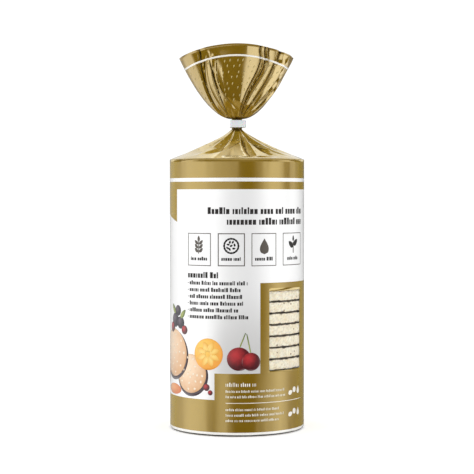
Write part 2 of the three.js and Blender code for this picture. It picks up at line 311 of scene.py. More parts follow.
@dataclass(frozen=True)
class FilmForm:
    """The film's outer side as one function of an angle and a track (see Zone)."""

    body_radius: float = 46.0
    body_height: float = 182.7
    base_edge: float = 1.6
    cone_rise: float = 20.8
    dish: float = 2.2
    neck_radius: float = 3.4
    neck_height: float = 7.0
    ruffle_half_width: float = 39.3
    ruffle_half_depth: float = 27.0
    ruffle_height: float = 41.0
    rim_arch: float = 8.0
    fan_power: float = 0.54
    pucker: float = 0.04  # depth of the fine upright wrinkles at the two ends of the sleeve
    pucker_reach: float = 9.0
    slack: float = 0.05  # depth of the broad waves on the sleeve
    sunk: float = 0.12  # how far the waves' middle lies inside the sleeve's radius
    gather: float = 0.055  # depth of the neck's gathers, as a share of its radius

    @property
    def neck_low(self) -> float:
        """Height of the foot of the neck."""
        return self.body_height + self.cone_rise

    @property
    def ruffle_foot(self) -> float:
        """Height of the head of the neck."""
        return self.neck_low + self.neck_height

    @staticmethod
    def gathers(degrees: Array) -> Array:
        """The waves in which the film is gathered at the neck, from about -1 to 1."""
        return ripple(degrees, (7, 11, 16), 14)

    def side_track(self, height: Array | float) -> Array | float:
        """Track of a height on the sleeve."""
        run = self.body_height - self.base_edge
        return Zone.SIDE + (height - self.base_edge) / run

    def relief(self, degrees: Array, height: Array) -> Array:
        """How far the sleeve stands out from its cylinder.

        The sum of broad waves, which turn slowly with height, and of fine upright wrinkles that
        die away from the two ends as an exponential of the distance.

        Args:
            degrees: Angles round the axis.
            height: Heights on the sleeve.

        Returns:
            The relief in millimetres.
        """
        low = np.exp(-np.maximum(height, 0.0) / self.pucker_reach)
        high = np.exp(-np.maximum(self.body_height - height, 0.0) / self.pucker_reach)
        waves = self.slack * ripple(degrees + 0.25 * height, (3, 5, 8), 11)
        fine_low = self.pucker * low * ripple(degrees, (23, 31, 44), 12)
        fine_high = self.pucker * high * ripple(degrees, (27, 38, 52), 13)
        return waves + fine_low + fine_high - self.sunk

    def cone(self, w: Array, degrees: Array) -> tuple[Array, Array]:
        """Radius and height on the cone, at share w of the way in from the rim to the neck.

        The film climbs in a straight line and flares up at the neck by the ninth power of w.
        Pleats lower it in between, and in front a dish over the edge of the cake, a smooth step
        in and out both ways.

        Args:
            w: Shares of the way in.
            degrees: Angles round the axis.

        Returns:
            Radius and height at each place.
        """
        climb = self.cone_rise * (0.9 * w + 0.1 * w ** 9)
        fold = pleat_depth(CONE_PLEATS, degrees, w) * smooth(w, 0.04, 0.5)
        crease = pleat_depth(CONE_CREASES, degrees, w, soft=True) * smooth(w, 0.02, 0.3)
        fold = (fold + crease) * (1.0 - smooth(w, 0.62, 1.0))
        around = (degrees + 180.0) % 360.0 - 180.0
        front = smooth(around, -20.0, -7.0) * (1.0 - smooth(around, 28.0, 50.0))
        fold = fold + self.dish * front * smooth(w, 0.0, 0.24) * (1.0 - smooth(w, 0.24, 0.62))
        gather = self.gather * self.gathers(degrees) * smooth(w, 0.5, 0.95)
        radius = self.body_radius + (self.neck_radius - self.body_radius) * w
        radius = radius * (1.0 + gather) - 0.35 * fold
        rim = self.relief(degrees, np.full_like(w, self.body_height))
        radius = radius + rim * (1.0 - smooth(w, 0.0, 0.25))
        return radius, self.body_height + climb - fold

    def ruffle(self, h: Array, degrees: Array) -> tuple[Array, Array]:
        """Radius and height on the ruffle, at share h of its height.

        The fan opens as a power of h to an oval rim, which is cut to an arch: it falls by the
        square of the distance across. The folds take a share of the radius, and fine gathers
        leave the neck and die away as an exponential.

        Args:
            h: Shares of the ruffle's height.
            degrees: Angles round the axis.

        Returns:
            Radius and height at each place.
        """
        a = np.radians(degrees)
        rim = 1.0 / np.hypot(np.sin(a) / self.ruffle_half_width,
                             np.cos(a) / self.ruffle_half_depth)
        share = fold_depth(degrees, h) * smooth(h, 0.0, 0.06)
        gather = self.gathers(degrees) * (self.gather + h) * np.exp(-h / 0.05)
        radius = self.neck_radius + (rim - self.neck_radius) * h ** self.fan_power
        across = rim * (1.0 - 0.7 * share) * np.sin(a) / self.ruffle_half_width
        height = (self.ruffle_height + self.rim_arch * (1.0 - across ** 2)) * h
        return radius * (1.0 - share + gather), self.ruffle_foot + height

    def place(self, degrees: Array, track: Array) -> Array:
        """Points of the film's outer side.

        Args:
            degrees: Angles round the axis.
            track: Tracks along the film, of the same shape.

        Returns:
            Points in millimetres, with a last axis of 3.
        """
        degrees, track = np.broadcast_arrays(np.asarray(degrees, float), np.asarray(track, float))
        zone = np.clip(np.floor(track), Zone.BASE, Zone.RUFFLE).astype(int)
        share = np.clip(track - zone, 0.0, 1.0)
        flat = self.body_radius - self.base_edge
        turn = np.radians(90.0 * share)
        side_height = self.base_edge + (self.body_height - self.base_edge) * share
        swell = self.relief(degrees, np.where(zone == Zone.EDGE, 0.0, side_height))
        cone_radius, cone_height = self.cone(share, degrees)
        neck = self.neck_radius * (1.0 + self.gather * self.gathers(degrees))
        fold = 0.35 * np.abs(ripple(degrees, (9, 14), 15)) * smooth(share, 0.1, 0.5)
        radius = np.choose(zone, (
            flat * share, flat + (self.base_edge + swell) * np.sin(turn),
            self.body_radius + swell, cone_radius, neck, neck))
        height = np.choose(zone, (
            fold * (1.0 - smooth(share, 0.8, 0.97)), self.base_edge * (1.0 - np.cos(turn)),
            side_height, cone_height, self.neck_low + self.neck_height * share, share))
        fan = zone == Zone.RUFFLE
        radius[fan], height[fan] = self.ruffle(share[fan], degrees[fan])
        return round_axis(degrees, radius, height)

    def lifted(self, degrees: Array, track: Array, lift: Array | float) -> Array:
        """Points moved square to the film's outer side.

        The normal is the cross product of the steps along the angle and along the track.

        Args:
            degrees: Angles round the axis.
            track: Tracks along the film.
            lift: Millimetres outwards, or inwards where negative.

        Returns:
            Points in millimetres.
        """
        degrees, track = np.broadcast_arrays(np.asarray(degrees, float), np.asarray(track, float))
        step_a, step_t = 0.2, 0.0015
        ahead = np.minimum(track + step_t, Zone.RUFFLE + 1)
        behind = np.maximum(track - step_t, Zone.BASE)
        along = self.place(degrees, ahead) - self.place(degrees, behind)
        around = self.place(degrees + step_a, track) - self.place(degrees - step_a, track)
        normal = np.cross(around, along)
        normal /= np.maximum(np.linalg.norm(normal, axis=-1, keepdims=True), 1e-9)
        return self.place(degrees, track) + normal * np.asarray(lift)[..., None]


FILM = FilmForm()


# ---- Meshes ----


def grid_quads(rows: int, columns: int, wrap: bool) -> Whole:
    """Quads of a grid of rows x columns points, facing along columns x rows.

    Args:
        rows: Rows of points.
        columns: Points in a row.
        wrap: True where the last column joins the first.

    Returns:
        An array of quads.
    """
    i, j = np.meshgrid(np.arange(rows - 1), np.arange(columns if wrap else columns - 1),
                       indexing="ij")
    i, j = i.ravel(), j.ravel()
    k = (j + 1) % columns
    return np.stack((i * columns + j, i * columns + k, (i + 1) * columns + k,
                     (i + 1) * columns + j), axis=1)


def shell_quads(keep: Mask, wrap: bool) -> Whole:
    """Quads of a closed shell between an outer and an inner grid of points.

    The outer cells that are kept, the same inner cells turned over, and a rim wall along every
    edge between a kept cell and one that isn't.

    Args:
        keep: Which cells of the grid are there, rows x columns.
        wrap: True where the last column of cells meets the first.

    Returns:
        An array of quads. The inner grid's points follow the outer grid's.
    """
    rows, cells = keep.shape
    columns = cells if wrap else cells + 1
    back = (rows + 1) * columns

    def at(i: NDArray, j: NDArray) -> NDArray:
        """Index of an outer point."""
        return i * columns + j % columns

    i, j = np.nonzero(keep)
    outer = np.stack((at(i, j), at(i, j + 1), at(i + 1, j + 1), at(i + 1, j)), axis=1)
    faces = [outer, outer[:, ::-1] + back]
    tall = np.pad(keep, ((1, 1), (0, 0)))
    wide = np.pad(keep, ((0, 0), (1, 1)), mode="wrap" if wrap else "constant")
    open_sides = (
        (~tall[:-2], (0, 1), (0, 0)), (~tall[2:], (1, 0), (1, 1)),
        (~wide[:, :-2], (0, 0), (1, 0)), (~wide[:, 2:], (1, 1), (0, 1)),
    )
    for bare, first, second in open_sides:
        i, j = np.nonzero(keep & bare)
        a, b = at(i + first[0], j + first[1]), at(i + second[0], j + second[1])
        faces.append(np.stack((a, b, b + back, a + back), axis=1))
    return np.concatenate(faces)


@dataclass
class MeshParts:
    """Points and quads of one piece, gathered from any number of grids."""

    points: list[Array] = field(default_factory=list)
    quads: list[Whole] = field(default_factory=list)
    slots: list[NDArray[np.int32]] = field(default_factory=list)
    shades: list[Array] = field(default_factory=list)
    count: int = 0

    def add(self, points: Array, quads: Whole, slot: int | NDArray = 0,
            shades: Array | None = None) -> None:
        """Adds points and faces.

        Args:
            points: Points in millimetres, with a last axis of 3.
            quads: Faces as indices into these points.
            slot: Material index of the faces, one for all or one each.
            shades: Two numbers for each point, kept as the attribute "print": places on a printed
                shape, or a grain's tone and painted shade.
        """
        points = points.reshape(-1, 3)
        self.points.append(points)
        self.quads.append(quads + self.count)
        self.slots.append(np.broadcast_to(np.asarray(slot, np.int32), (len(quads),)))
        if shades is None:
            shades = np.zeros((len(points), 2))
        self.shades.append(shades.reshape(-1, 2))
        self.count += len(points)

    def add_shell(self, outer: Array, inner: Array, wrap: bool = False,
                  slots: tuple[int, int] = (0, 0), shades: Array | None = None) -> None:
        """Adds a closed shell between two grids of points.

        Args:
            outer: The outer side, rows x columns x 3.
            inner: The inner side, of the same shape.
            wrap: True where the last column joins the first.
            slots: Material index of the outer side, and of the inner side and the rims.
            shades: Two numbers for each point of a side.
        """
        rows, columns = outer.shape[:2]
        keep = np.ones((rows - 1, columns if wrap else columns - 1), bool)
        quads = shell_quads(keep, wrap)
        slot = np.full(len(quads), slots[1])
        slot[:keep.size] = slots[0]
        if shades is not None:
            shades = np.concatenate((shades.reshape(-1, 2),) * 2)
        self.add(np.concatenate((outer, inner)), quads, slot, shades)

    def build(self, name: str, materials: Sequence[str], slot: str,
              replaces: Sequence[str] = ()) -> bpy.types.Object:
        """Makes the piece's object, with its place in its mesh.

        A quad whose last two corners are the same point becomes a triangle.

        Args:
            name: The piece's name.
            materials: Names of materials, in the order of the faces' indices.
            slot: Name of a record's material slot; not used.
            replaces: CAD nodes that the piece stands for.

        Returns:
            The new object.
        """
        points = np.concatenate(self.points) * MM
        quads = np.concatenate(self.quads)
        three = quads[:, 2] == quads[:, 3]
        totals = np.where(three, 3, 4).astype(np.int32)
        corners = quads[np.arange(4) < totals[:, None]].astype(np.int32)
        mesh = bpy.data.meshes.new(name)
        mesh.vertices.add(len(points))
        mesh.vertices.foreach_set("co", points.astype(np.float32).ravel())
        mesh.loops.add(len(corners))
        mesh.loops.foreach_set("vertex_index", corners)
        mesh.polygons.add(len(quads))
        starts = np.concatenate(([0], np.cumsum(totals)[:-1])).astype(np.int32)
        mesh.polygons.foreach_set("loop_start", starts)
        mesh.polygons.foreach_set("material_index", np.concatenate(self.slots))
        mesh.polygons.foreach_set("use_smooth", np.ones(len(quads), bool))
        layer = mesh.attributes.new("print", "FLOAT2", "POINT")
        layer.data.foreach_set("vector", np.concatenate(self.shades).astype(np.float32).ravel())
        mesh.update(calc_edges=True)
        mesh.validate()
        for material in materials:
            mesh.materials.append(MATERIALS[material])
        piece = bpy.data.objects.new(name, mesh)
        bpy.context.scene.collection.objects.link(piece)
        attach(piece, ROOT)
        if replaces:
            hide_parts(*replaces)
        LOG.info("%s: %d faces", name, len(quads))
        return piece


def pole_fan(ring: Whole, pole: int, upward: bool) -> Whole:
    """Triangles from a ring of points to a pole, as quads whose last two corners agree.

    Args:
        ring: Indices of the ring's points, in the order of rising angle.
        pole: Index of the pole.
        upward: True where the fan faces +Z.

    Returns:
        An array of quads.
    """
    following = np.roll(ring, -1)
    first, second = (ring, following) if upward else (following, ring)
    tip = np.full_like(ring, pole)
    return np.stack((first, second, tip, tip), axis=1)


# ---- Shader node groups ----


class Wiring:
    """Short hand for making and linking the nodes of one tree."""

    def __init__(self, tree: Tree) -> None:
        """Keeps the tree."""
        self.tree = tree

    def node(self, kind: str, *given: object, **values: object) -> Node:
        """Adds a node. A socket's value may be another node's output, which is linked.

        Args:
            kind: The node's type name without its prefix, such as "TexNoise".
            *given: Values for its first sockets, in their order.
            **values: Properties by name, or sockets by name with spaces as underscores.

        Returns:
            The new node.
        """
        node = self.tree.nodes.new("ShaderNode" + kind)
        for key, value in values.items():
            if hasattr(node, key) and not isinstance(value, Socket):
                setattr(node, key, value)
            else:
                self.feed(node.inputs[key.replace("_", " ")], value)
        for socket, value in zip(node.inputs, given):
            self.feed(socket, value)
        return node

    def feed(self, socket: Socket, value: object) -> None:
        """Links an output to a socket, or sets the socket's own value.

        Args:
            socket: The socket to feed.
            value: Another node's output, a number, a vector or a colour.
        """
        if isinstance(value, Socket):
            self.tree.links.new(value, socket)
        else:
            socket.default_value = opaque(value) if socket.type == "RGBA" else value

    def maths(self, operation: str, *values: object, clamp: bool = False) -> Socket:
        """Adds a Math node on the values and gives its output."""
        return self.node("Math", *values, operation=operation, use_clamp=clamp).outputs[0]

    def spread(self, value: object, low: float, high: float, to_low: float = 0.0,
               to_high: float = 1.0, smoothly: bool = True) -> Socket:
        """Adds a Map Range node from low..high to to_low..to_high and gives its output."""
        kind = "SMOOTHSTEP" if smoothly else "LINEAR"
        return self.node("MapRange", value, low, high, to_low, to_high,
                         interpolation_type=kind).outputs["Result"]

    def blend(self, share: object, first: object, second: object) -> Socket:
        """Adds a colour Mix node and gives its output.

        Args:
            share: Share of the second colour.
            first: The first colour.
            second: The second colour.

        Returns:
            The mixed colour.
        """
        node = self.node("Mix", data_type="RGBA", Factor=share)
        self.feed(node.inputs[6], first)
        self.feed(node.inputs[7], second)
        return node.outputs[2]

    def object_place(self) -> Socket:
        """Object coordinates."""
        return self.node("TexCoord").outputs["Object"]

    def angle(self, parts: bpy.types.NodeOutputs) -> Socket:
        """Angle round the axis from the front, in radians: the arc tangent of x over -y."""
        return self.maths("ARCTAN2", parts["X"], self.maths("MULTIPLY", parts["Y"], -1.0))

    def print_place(self) -> Socket:
        """The two numbers of the attribute "print", as X and Y of a vector."""
        return self.node("Attribute", attribute_name="print").outputs["Vector"]


def opaque(colour: Colour) -> tuple[float, ...]:
    """Gives a colour of three numbers its alpha of 1."""
    return (*colour, 1.0)


def blank_tree(owner: Material | bpy.types.World) -> Wiring:
    """Gives a material or a world an empty tree, and returns its wiring."""
    owner.use_nodes = True
    owner.node_tree.nodes.clear()
    return Wiring(owner.node_tree)


def open_group(name: str, inputs: dict[str, str], outputs: dict[str, str]) -> tuple[
        Tree, Wiring, bpy.types.NodeOutputs, bpy.types.NodeInputs]:
    """Makes an empty shader node group with its sockets.

    Args:
        name: The group's name.
        inputs: Kind of each input, by name.
        outputs: Kind of each output, by name.

    Returns:
        The group, its wiring, the sockets that give its inputs, and those that take its outputs.
    """
    kinds = {"value": "NodeSocketFloat", "colour": "NodeSocketColor",
             "vector": "NodeSocketVector"}
    group = bpy.data.node_groups.new(name, "ShaderNodeTree")
    for way, sockets in (("INPUT", inputs), ("OUTPUT", outputs)):
        for key, kind in sockets.items():
            group.interface.new_socket(name=key, in_out=way, socket_type=kinds[kind])
    entry = group.nodes.new("NodeGroupInput")
    leave = group.nodes.new("NodeGroupOutput")
    return group, Wiring(group), entry.outputs, leave.inputs


@dataclass
class NodeGroups:
    """The effects that several materials share, each built once."""

    crinkle: Tree = field(init=False)
    round_tint: Tree = field(init=False)
    puffed: Tree = field(init=False)

    def __post_init__(self) -> None:
        """Builds every group."""
        self.crinkle = self._film_crinkle()
        self.round_tint = self._round_tint()
        self.puffed = self._puffed_grain()

    @staticmethod
    def _film_crinkle() -> Tree:
        """Handling marks of thin film: soft dents as a height, and a patchy gloss.

        The height is a broad noise stretched upright plus a little fine noise. The gloss is the
        mean roughness plus a noise of its own.

        Returns:
            The group.
        """
        group, wire, given, taken = open_group(
            "Film crinkle",
            {"Vector": "vector", "Size": "value", "Roughness": "value", "Patchiness": "value"},
            {"Height": "value", "Roughness": "value", "Tone": "value"})
        stretched = wire.node("Mapping", Vector=given["Vector"], Scale=(1.0, 1.0, 0.35))
        broad = wire.node("TexNoise", Vector=stretched.outputs[0], Scale=given["Size"],
                          Detail=2.0, Roughness=0.5, Distortion=0.6)
        fine_size = wire.maths("MULTIPLY", given["Size"], 14.0)
        fine = wire.node("TexNoise", Vector=given["Vector"], Scale=fine_size, Detail=3.0)
        height = wire.maths("MULTIPLY_ADD", fine.outputs[0], 0.06, broad.outputs[0])
        patch_size = wire.maths("MULTIPLY", given["Size"], 2.3)
        patch = wire.node("TexNoise", Vector=given["Vector"], Scale=patch_size, Detail=4.0)
        off = wire.maths("SUBTRACT", patch.outputs[0], 0.5)
        rough = wire.maths("MULTIPLY_ADD", off, given["Patchiness"], given["Roughness"])
        wire.feed(taken["Height"], height)
        wire.feed(taken["Roughness"], rough)
        wire.feed(taken["Tone"], broad.outputs[0])
        return group

    @staticmethod
    def _round_tint() -> Tree:
        """Colour of a painted round thing: light about one place and dark towards its edge.

        The share of the dark colour is a smooth step of the distance from the light place.

        Returns:
            The group.
        """
        group, wire, given, taken = open_group(
            "Painted round",
            {"Place": "vector", "Light": "colour", "Dark": "colour", "Reach": "value",
             "Mottle": "value"},
            {"Color": "colour"})
        off = wire.node("VectorMath", given["Place"], (-0.3, 0.35, 0.0), operation="DISTANCE")
        grain = wire.node("TexNoise", Vector=given["Place"], Scale=3.0, Detail=4.0)
        ragged = wire.maths("MULTIPLY_ADD", wire.maths("SUBTRACT", grain.outputs[0], 0.5),
                            given["Mottle"], off.outputs["Value"])
        share = wire.maths("DIVIDE", ragged, given["Reach"], clamp=True)
        share = wire.spread(share, 0.0, 1.0)
        wire.feed(taken["Color"], wire.blend(share, given["Light"], given["Dark"]))
        return group

    @staticmethod
    def _puffed_grain() -> Tree:
        """Puffed starch: toasted tone from a noise, bran flecks from cells, and fine pores.

        Returns:
            The group.
        """
        group, wire, given, taken = open_group(
            "Puffed grain",
            {"Vector": "vector", "Pale": "colour", "Toasted": "colour", "Bran": "colour",
             "Grain": "value", "Fleck share": "value"},
            {"Color": "colour", "Height": "value", "Roughness": "value"})
        tone = wire.node("TexNoise", Vector=given["Vector"], Scale=260.0, Detail=4.0,
                         Roughness=0.6)
        toast = wire.spread(tone.outputs[0], 0.45, 0.8)
        shade = wire.maths("MULTIPLY_ADD", given["Grain"], 0.35, wire.maths(
            "MULTIPLY", toast, 0.5), clamp=True)
        body = wire.blend(shade, given["Pale"], given["Toasted"])
        cells = wire.node("TexVoronoi", Vector=given["Vector"], Scale=420.0)
        pick = wire.maths("LESS_THAN", wire.node(
            "SeparateColor", Color=cells.outputs["Color"]).outputs[0], given["Fleck share"])
        spot = wire.spread(cells.outputs["Distance"], 0.16, 0.34, 1.0, 0.0)
        fleck = wire.maths("MULTIPLY", pick, spot)
        pores = wire.node("TexNoise", Vector=given["Vector"], Scale=1500.0, Detail=3.0)
        wire.feed(taken["Color"], wire.blend(fleck, body, given["Bran"]))
        wire.feed(taken["Height"], wire.maths("MULTIPLY_ADD", fleck, -0.4, pores.outputs[0]))
        wire.feed(taken["Roughness"], wire.spread(pores.outputs[0], 0.3, 0.7, 0.72, 0.92))
        return group


# ---- Finishes ----


@dataclass(frozen=True)
class Finish:
    """What every finish shares: its name, its output and the film's crinkle."""

    name: str

    def make(self, groups: NodeGroups) -> Material:
        """Builds the material.

        Args:
            groups: The shared node groups.

        Returns:
            The material.
        """
        material = bpy.data.materials.new(self.name)
        wire = blank_tree(material)
        wire.node("OutputMaterial", self.surface(wire, groups))
        return material

    def surface(self, wire: Wiring, groups: NodeGroups) -> Socket:
        """Adds the finish's own nodes and gives its shader's output."""
        raise NotImplementedError

    @staticmethod
    def crinkle(wire: Wiring, groups: NodeGroups, size: float, roughness: float,
                patchiness: float, dents: float) -> tuple[bpy.types.NodeOutputs, Socket]:
        """Adds the film's crinkle on Object coordinates.

        Args:
            wire: The material's wiring.
            groups: The shared node groups.
            size: Scale of the crinkle's noise.
            roughness: Mean roughness.
            patchiness: How far the roughness varies.
            dents: Depth of the dents in millimetres.

        Returns:
            The crinkle's outputs, and the normal that its height gives.
        """
        crinkle = wire.node("Group", node_tree=groups.crinkle, Vector=wire.object_place(),
                            Size=size, Roughness=roughness, Patchiness=patchiness).outputs
        bump = wire.node("Bump", Height=crinkle["Height"], Strength=1.0, Distance=dents * MM)
        return crinkle, bump.outputs[0]


@dataclass(frozen=True)
class Fade:
    """A tint that comes in smoothly with height and with the angle: print, or painted light.

    There is none of it at a span's first value and all of it at the second. A span that isn't
    named lies below every place on the film, so it holds nothing back.
    """

    tint: Colour
    heights: Span = (-2.0, -1.0)
    angles: Span = (-400.0, -399.0)

    def over(self, wire: Wiring, colour: Socket) -> Socket:
        """Blends the tint over a colour.

        Args:
            wire: The material's wiring.
            colour: The colour beneath.

        Returns:
            The blended colour.
        """
        parts = wire.node("SeparateXYZ", wire.object_place()).outputs
        down = wire.spread(parts["Z"], self.heights[0] * MM, self.heights[1] * MM)
        across = wire.spread(wire.angle(parts), *map(math.radians, self.angles))
        return wire.blend(wire.maths("MULTIPLY", down, across), colour, self.tint)


@dataclass(frozen=True)
class FilmInk(Finish):
    """Ink under the film's gloss: gold, white or dark, with the film's dents and patchy gloss."""

    tint: Colour
    second_tint: Colour
    metal: float = 0.0
    index: float = 1.5
    gloss_tint: Colour = (1.0, 1.0, 1.0)
    roughness: float = 0.35
    patchiness: float = 0.06
    size: float = 55.0  # of the crinkle's noise
    dents: float = 0.02  # millimetres
    coat: float = 1.0
    coat_index: float = 1.6
    coat_roughness: float = 0.12
    fades: tuple[Fade, ...] = ()
    shade: Colour | None = None  # painted shade: colour down in the folds and at the neck, where the piece gives its share

    def surface(self, wire: Wiring, groups: NodeGroups) -> Socket:
        """Two tints by the crinkle's tone, then the fades, then the painted shade of the folds,
        which also dims the coat and raises the metal.
        """
        crinkle, normal = self.crinkle(wire, groups, self.size, self.roughness,
                                       self.patchiness, self.dents)
        colour = wire.blend(wire.spread(crinkle["Tone"], 0.3, 0.7), self.tint, self.second_tint)
        for fade in self.fades:
            colour = fade.over(wire, colour)
        metal, coat = self.metal, self.coat
        if self.shade is not None:
            # painted shade: folds turn dark, with less coat and more metal, so they reflect less
            painted_shade = wire.node("SeparateXYZ", wire.print_place()).outputs["Y"]
            colour = wire.blend(painted_shade, colour, self.shade)
            metal = wire.maths("MULTIPLY_ADD", painted_shade, 1.0 - self.metal, self.metal)
            coat = wire.maths("MULTIPLY_ADD", painted_shade, -self.coat, self.coat)
        return wire.node("BsdfPrincipled", Base_Color=colour, Roughness=crinkle["Roughness"],
                         Normal=normal, Metallic=metal, IOR=self.index,
                         Specular_Tint=self.gloss_tint, Coat_Weight=coat,
                         Coat_IOR=self.coat_index,
                         Coat_Roughness=self.coat_roughness).outputs[0]


@dataclass(frozen=True)
class PaintedRound(Finish):
    """Printed picture ink for a round thing, lighter about one place."""

    light: Colour
    dark: Colour
    reach: float
    mottle: float

    def surface(self, wire: Wiring, groups: NodeGroups) -> Socket:
        """The round tint, by the piece's own print coordinates, under a gloss."""
        paint = wire.node("Group", node_tree=groups.round_tint, Place=wire.print_place(),
                          Light=self.light, Dark=self.dark, Reach=self.reach,
                          Mottle=self.mottle)
        return wire.node("BsdfPrincipled", Base_Color=paint.outputs[0], Roughness=0.3,
                         Coat_Weight=1.0, Coat_IOR=1.5, Coat_Roughness=0.12).outputs[0]


@dataclass(frozen=True)
class PuffedRice(Finish):
    """The cakes: pale puffed starch with toasted patches and bran flecks."""

    pale: Colour = (0.985, 0.95, 0.81)
    toasted: Colour = (0.84, 0.70, 0.44)
    bran: Colour = (0.2, 0.1, 0.04)
    gap_shade: Colour = (0.045, 0.02, 0.008)  # painted shade in the gaps between the cakes and in the grooves between grains
    flecks: float = 0.07  # share of the cells that hold a fleck

    def surface(self, wire: Wiring, groups: NodeGroups) -> Socket:
        """The puffed grain, with each grain's own tone and the painted shade of the gaps from the
        print attribute.
        """
        own = wire.node("SeparateXYZ", wire.print_place()).outputs
        grain = wire.node("Group", node_tree=groups.puffed, Vector=wire.object_place(),
                          Pale=self.pale, Toasted=self.toasted, Bran=self.bran,
                          Grain=own["X"], Fleck_share=self.flecks).outputs
        bump = wire.node("Bump", Height=grain["Height"], Strength=0.6, Distance=0.15 * MM)
        return wire.node("BsdfPrincipled", Base_Color=wire.blend(own["Y"], grain["Color"],
                                                                 self.gap_shade),
                         Roughness=grain["Roughness"], Normal=bump.outputs[0],
                         Subsurface_Weight=0.15, Subsurface_Scale=0.5 * MM,
                         Subsurface_Radius=(1.0, 0.7, 0.4)).outputs[0]


@dataclass(frozen=True)
class ClearFilm(Finish):
    """Unprinted film: clear, with a gloss that grows towards the edge of what is seen."""

    tint: Colour = (0.985, 0.98, 0.97)
    index: float = 1.25

    def surface(self, wire: Wiring, groups: NodeGroups) -> Socket:
        """A transparent shader, with a glossy share by Fresnel on its front."""
        crinkle, normal = self.crinkle(wire, groups, 90.0, 0.1, 0.04, 0.04)
        fresnel = wire.node("Fresnel", IOR=self.index, Normal=normal).outputs[0]
        front = wire.maths("SUBTRACT", 1.0, wire.node("NewGeometry").outputs["Backfacing"])
        clear = wire.node("BsdfTransparent", Color=self.tint)
        gloss = wire.node("BsdfGlossy", Color=(1.0, 1.0, 1.0), Roughness=crinkle["Roughness"],
                          Normal=normal)
        return wire.node("MixShader", wire.maths("MULTIPLY", fresnel, front),
                         clear.outputs[0], gloss.outputs[0]).outputs[0]


@dataclass(frozen=True)
class ClipPlastic(Finish):
    """White moulded plastic with a faint cool tint and fine handling marks."""

    tint: Colour = (0.80, 0.84, 0.90)
    second_tint: Colour = (0.90, 0.92, 0.95)

    def surface(self, wire: Wiring, groups: NodeGroups) -> Socket:
        """Two tints by the crinkle's tone, with a little light let in."""
        crinkle, normal = self.crinkle(wire, groups, 300.0, 0.38, 0.12, 0.03)
        return wire.node("BsdfPrincipled", Base_Color=wire.blend(crinkle["Tone"], self.tint,
                                                                 self.second_tint),
                         Roughness=crinkle["Roughness"], Normal=normal,
                         Subsurface_Weight=0.2, Subsurface_Scale=1.0 * MM).outputs[0]


GOLD = (0.335, 0.190, 0.0035)
GOLD_DEEP = (0.313, 0.176, 0.003)
# painted light: the gold is made lighter towards the two sides
PAINTED_LIGHT_GOLD = (0.47, 0.30, 0.006)
# painted light: the cone and the lower neck are printed a lighter gold
CONE_PAINTED_LIGHT = Fade((0.43, 0.275, 0.022), heights=(209.5, 206.0))
# painted light: the white is made whiter towards the two sides
PAINTED_LIGHT_WHITE = (0.97, 0.97, 0.968)

FINISHES: tuple[Finish, ...] = (
    FilmInk("gold_film", GOLD, GOLD_DEEP, metal=0.25, index=2.95, gloss_tint=(1.0, 0.90, 0.46),
            roughness=0.12, coat=0.6, coat_index=1.7, coat_roughness=0.10,
            # painted light: lighter gold towards both sides
            fades=(Fade(PAINTED_LIGHT_GOLD, angles=(48.0, 74.0)), Fade(PAINTED_LIGHT_GOLD, angles=(-52.0, -72.0)))),
    # the loose gold's shade is painted shade; its fades are painted light on the cone
    FilmInk("gold_film_loose", GOLD, GOLD_DEEP, metal=0.25, index=2.9,
            gloss_tint=(1.0, 0.93, 0.58), roughness=0.11, coat=0.7, coat_index=1.7,
            coat_roughness=0.10, shade=(0.075, 0.040, 0.002),
            fades=(CONE_PAINTED_LIGHT,
                   # painted highlight: a pale patch on the cone's lower front
                   Fade((0.96, 0.78, 0.40), heights=(195.0, 186.0), angles=(-27.0, -14.0)),
                   Fade(CONE_PAINTED_LIGHT.tint, heights=CONE_PAINTED_LIGHT.heights, angles=(6.0, 24.0)))),
    FilmInk("white_film", (0.82, 0.82, 0.818), (0.81, 0.81, 0.812),
            # painted light: whiter towards both sides
            fades=(Fade(PAINTED_LIGHT_WHITE, angles=(8.0, 32.0)), Fade(PAINTED_LIGHT_WHITE, angles=(-3.0, -20.0)),
                   Fade((0.60, 0.595, 0.59), heights=(108.0, 50.0), angles=(-30.0, -8.0)),
                   # painted light: the white foot ring is made whiter
                   Fade((0.97, 0.96, 0.92), heights=(8.0, 6.0)))),
    FilmInk("film_inside", (0.47, 0.40, 0.25), (0.42, 0.35, 0.21), metal=0.5, roughness=0.32,
            coat_index=1.5),
    # dark ink of the words, also the painted contact shadow on the sleeve's lower edge
    FilmInk("dark_ink_and_painted_shadow", (0.018, 0.016, 0.015), (0.022, 0.019, 0.018), coat=0.15, index=1.35),
    FilmInk("box_ink", (0.085, 0.073, 0.062), (0.10, 0.085, 0.07), coat=0.3, index=1.4),
    FilmInk("pale_ink", (0.95, 0.92, 0.84), (0.92, 0.89, 0.81), coat_index=1.9),
    FilmInk("grain_ink", (0.60, 0.47, 0.17), (0.56, 0.43, 0.15), metal=0.3, roughness=0.3,
            coat=0.5, coat_index=1.8),
    ClearFilm("clear_film"),
    PuffedRice("puffed_rice"),
    ClipPlastic("clip_plastic"),
)
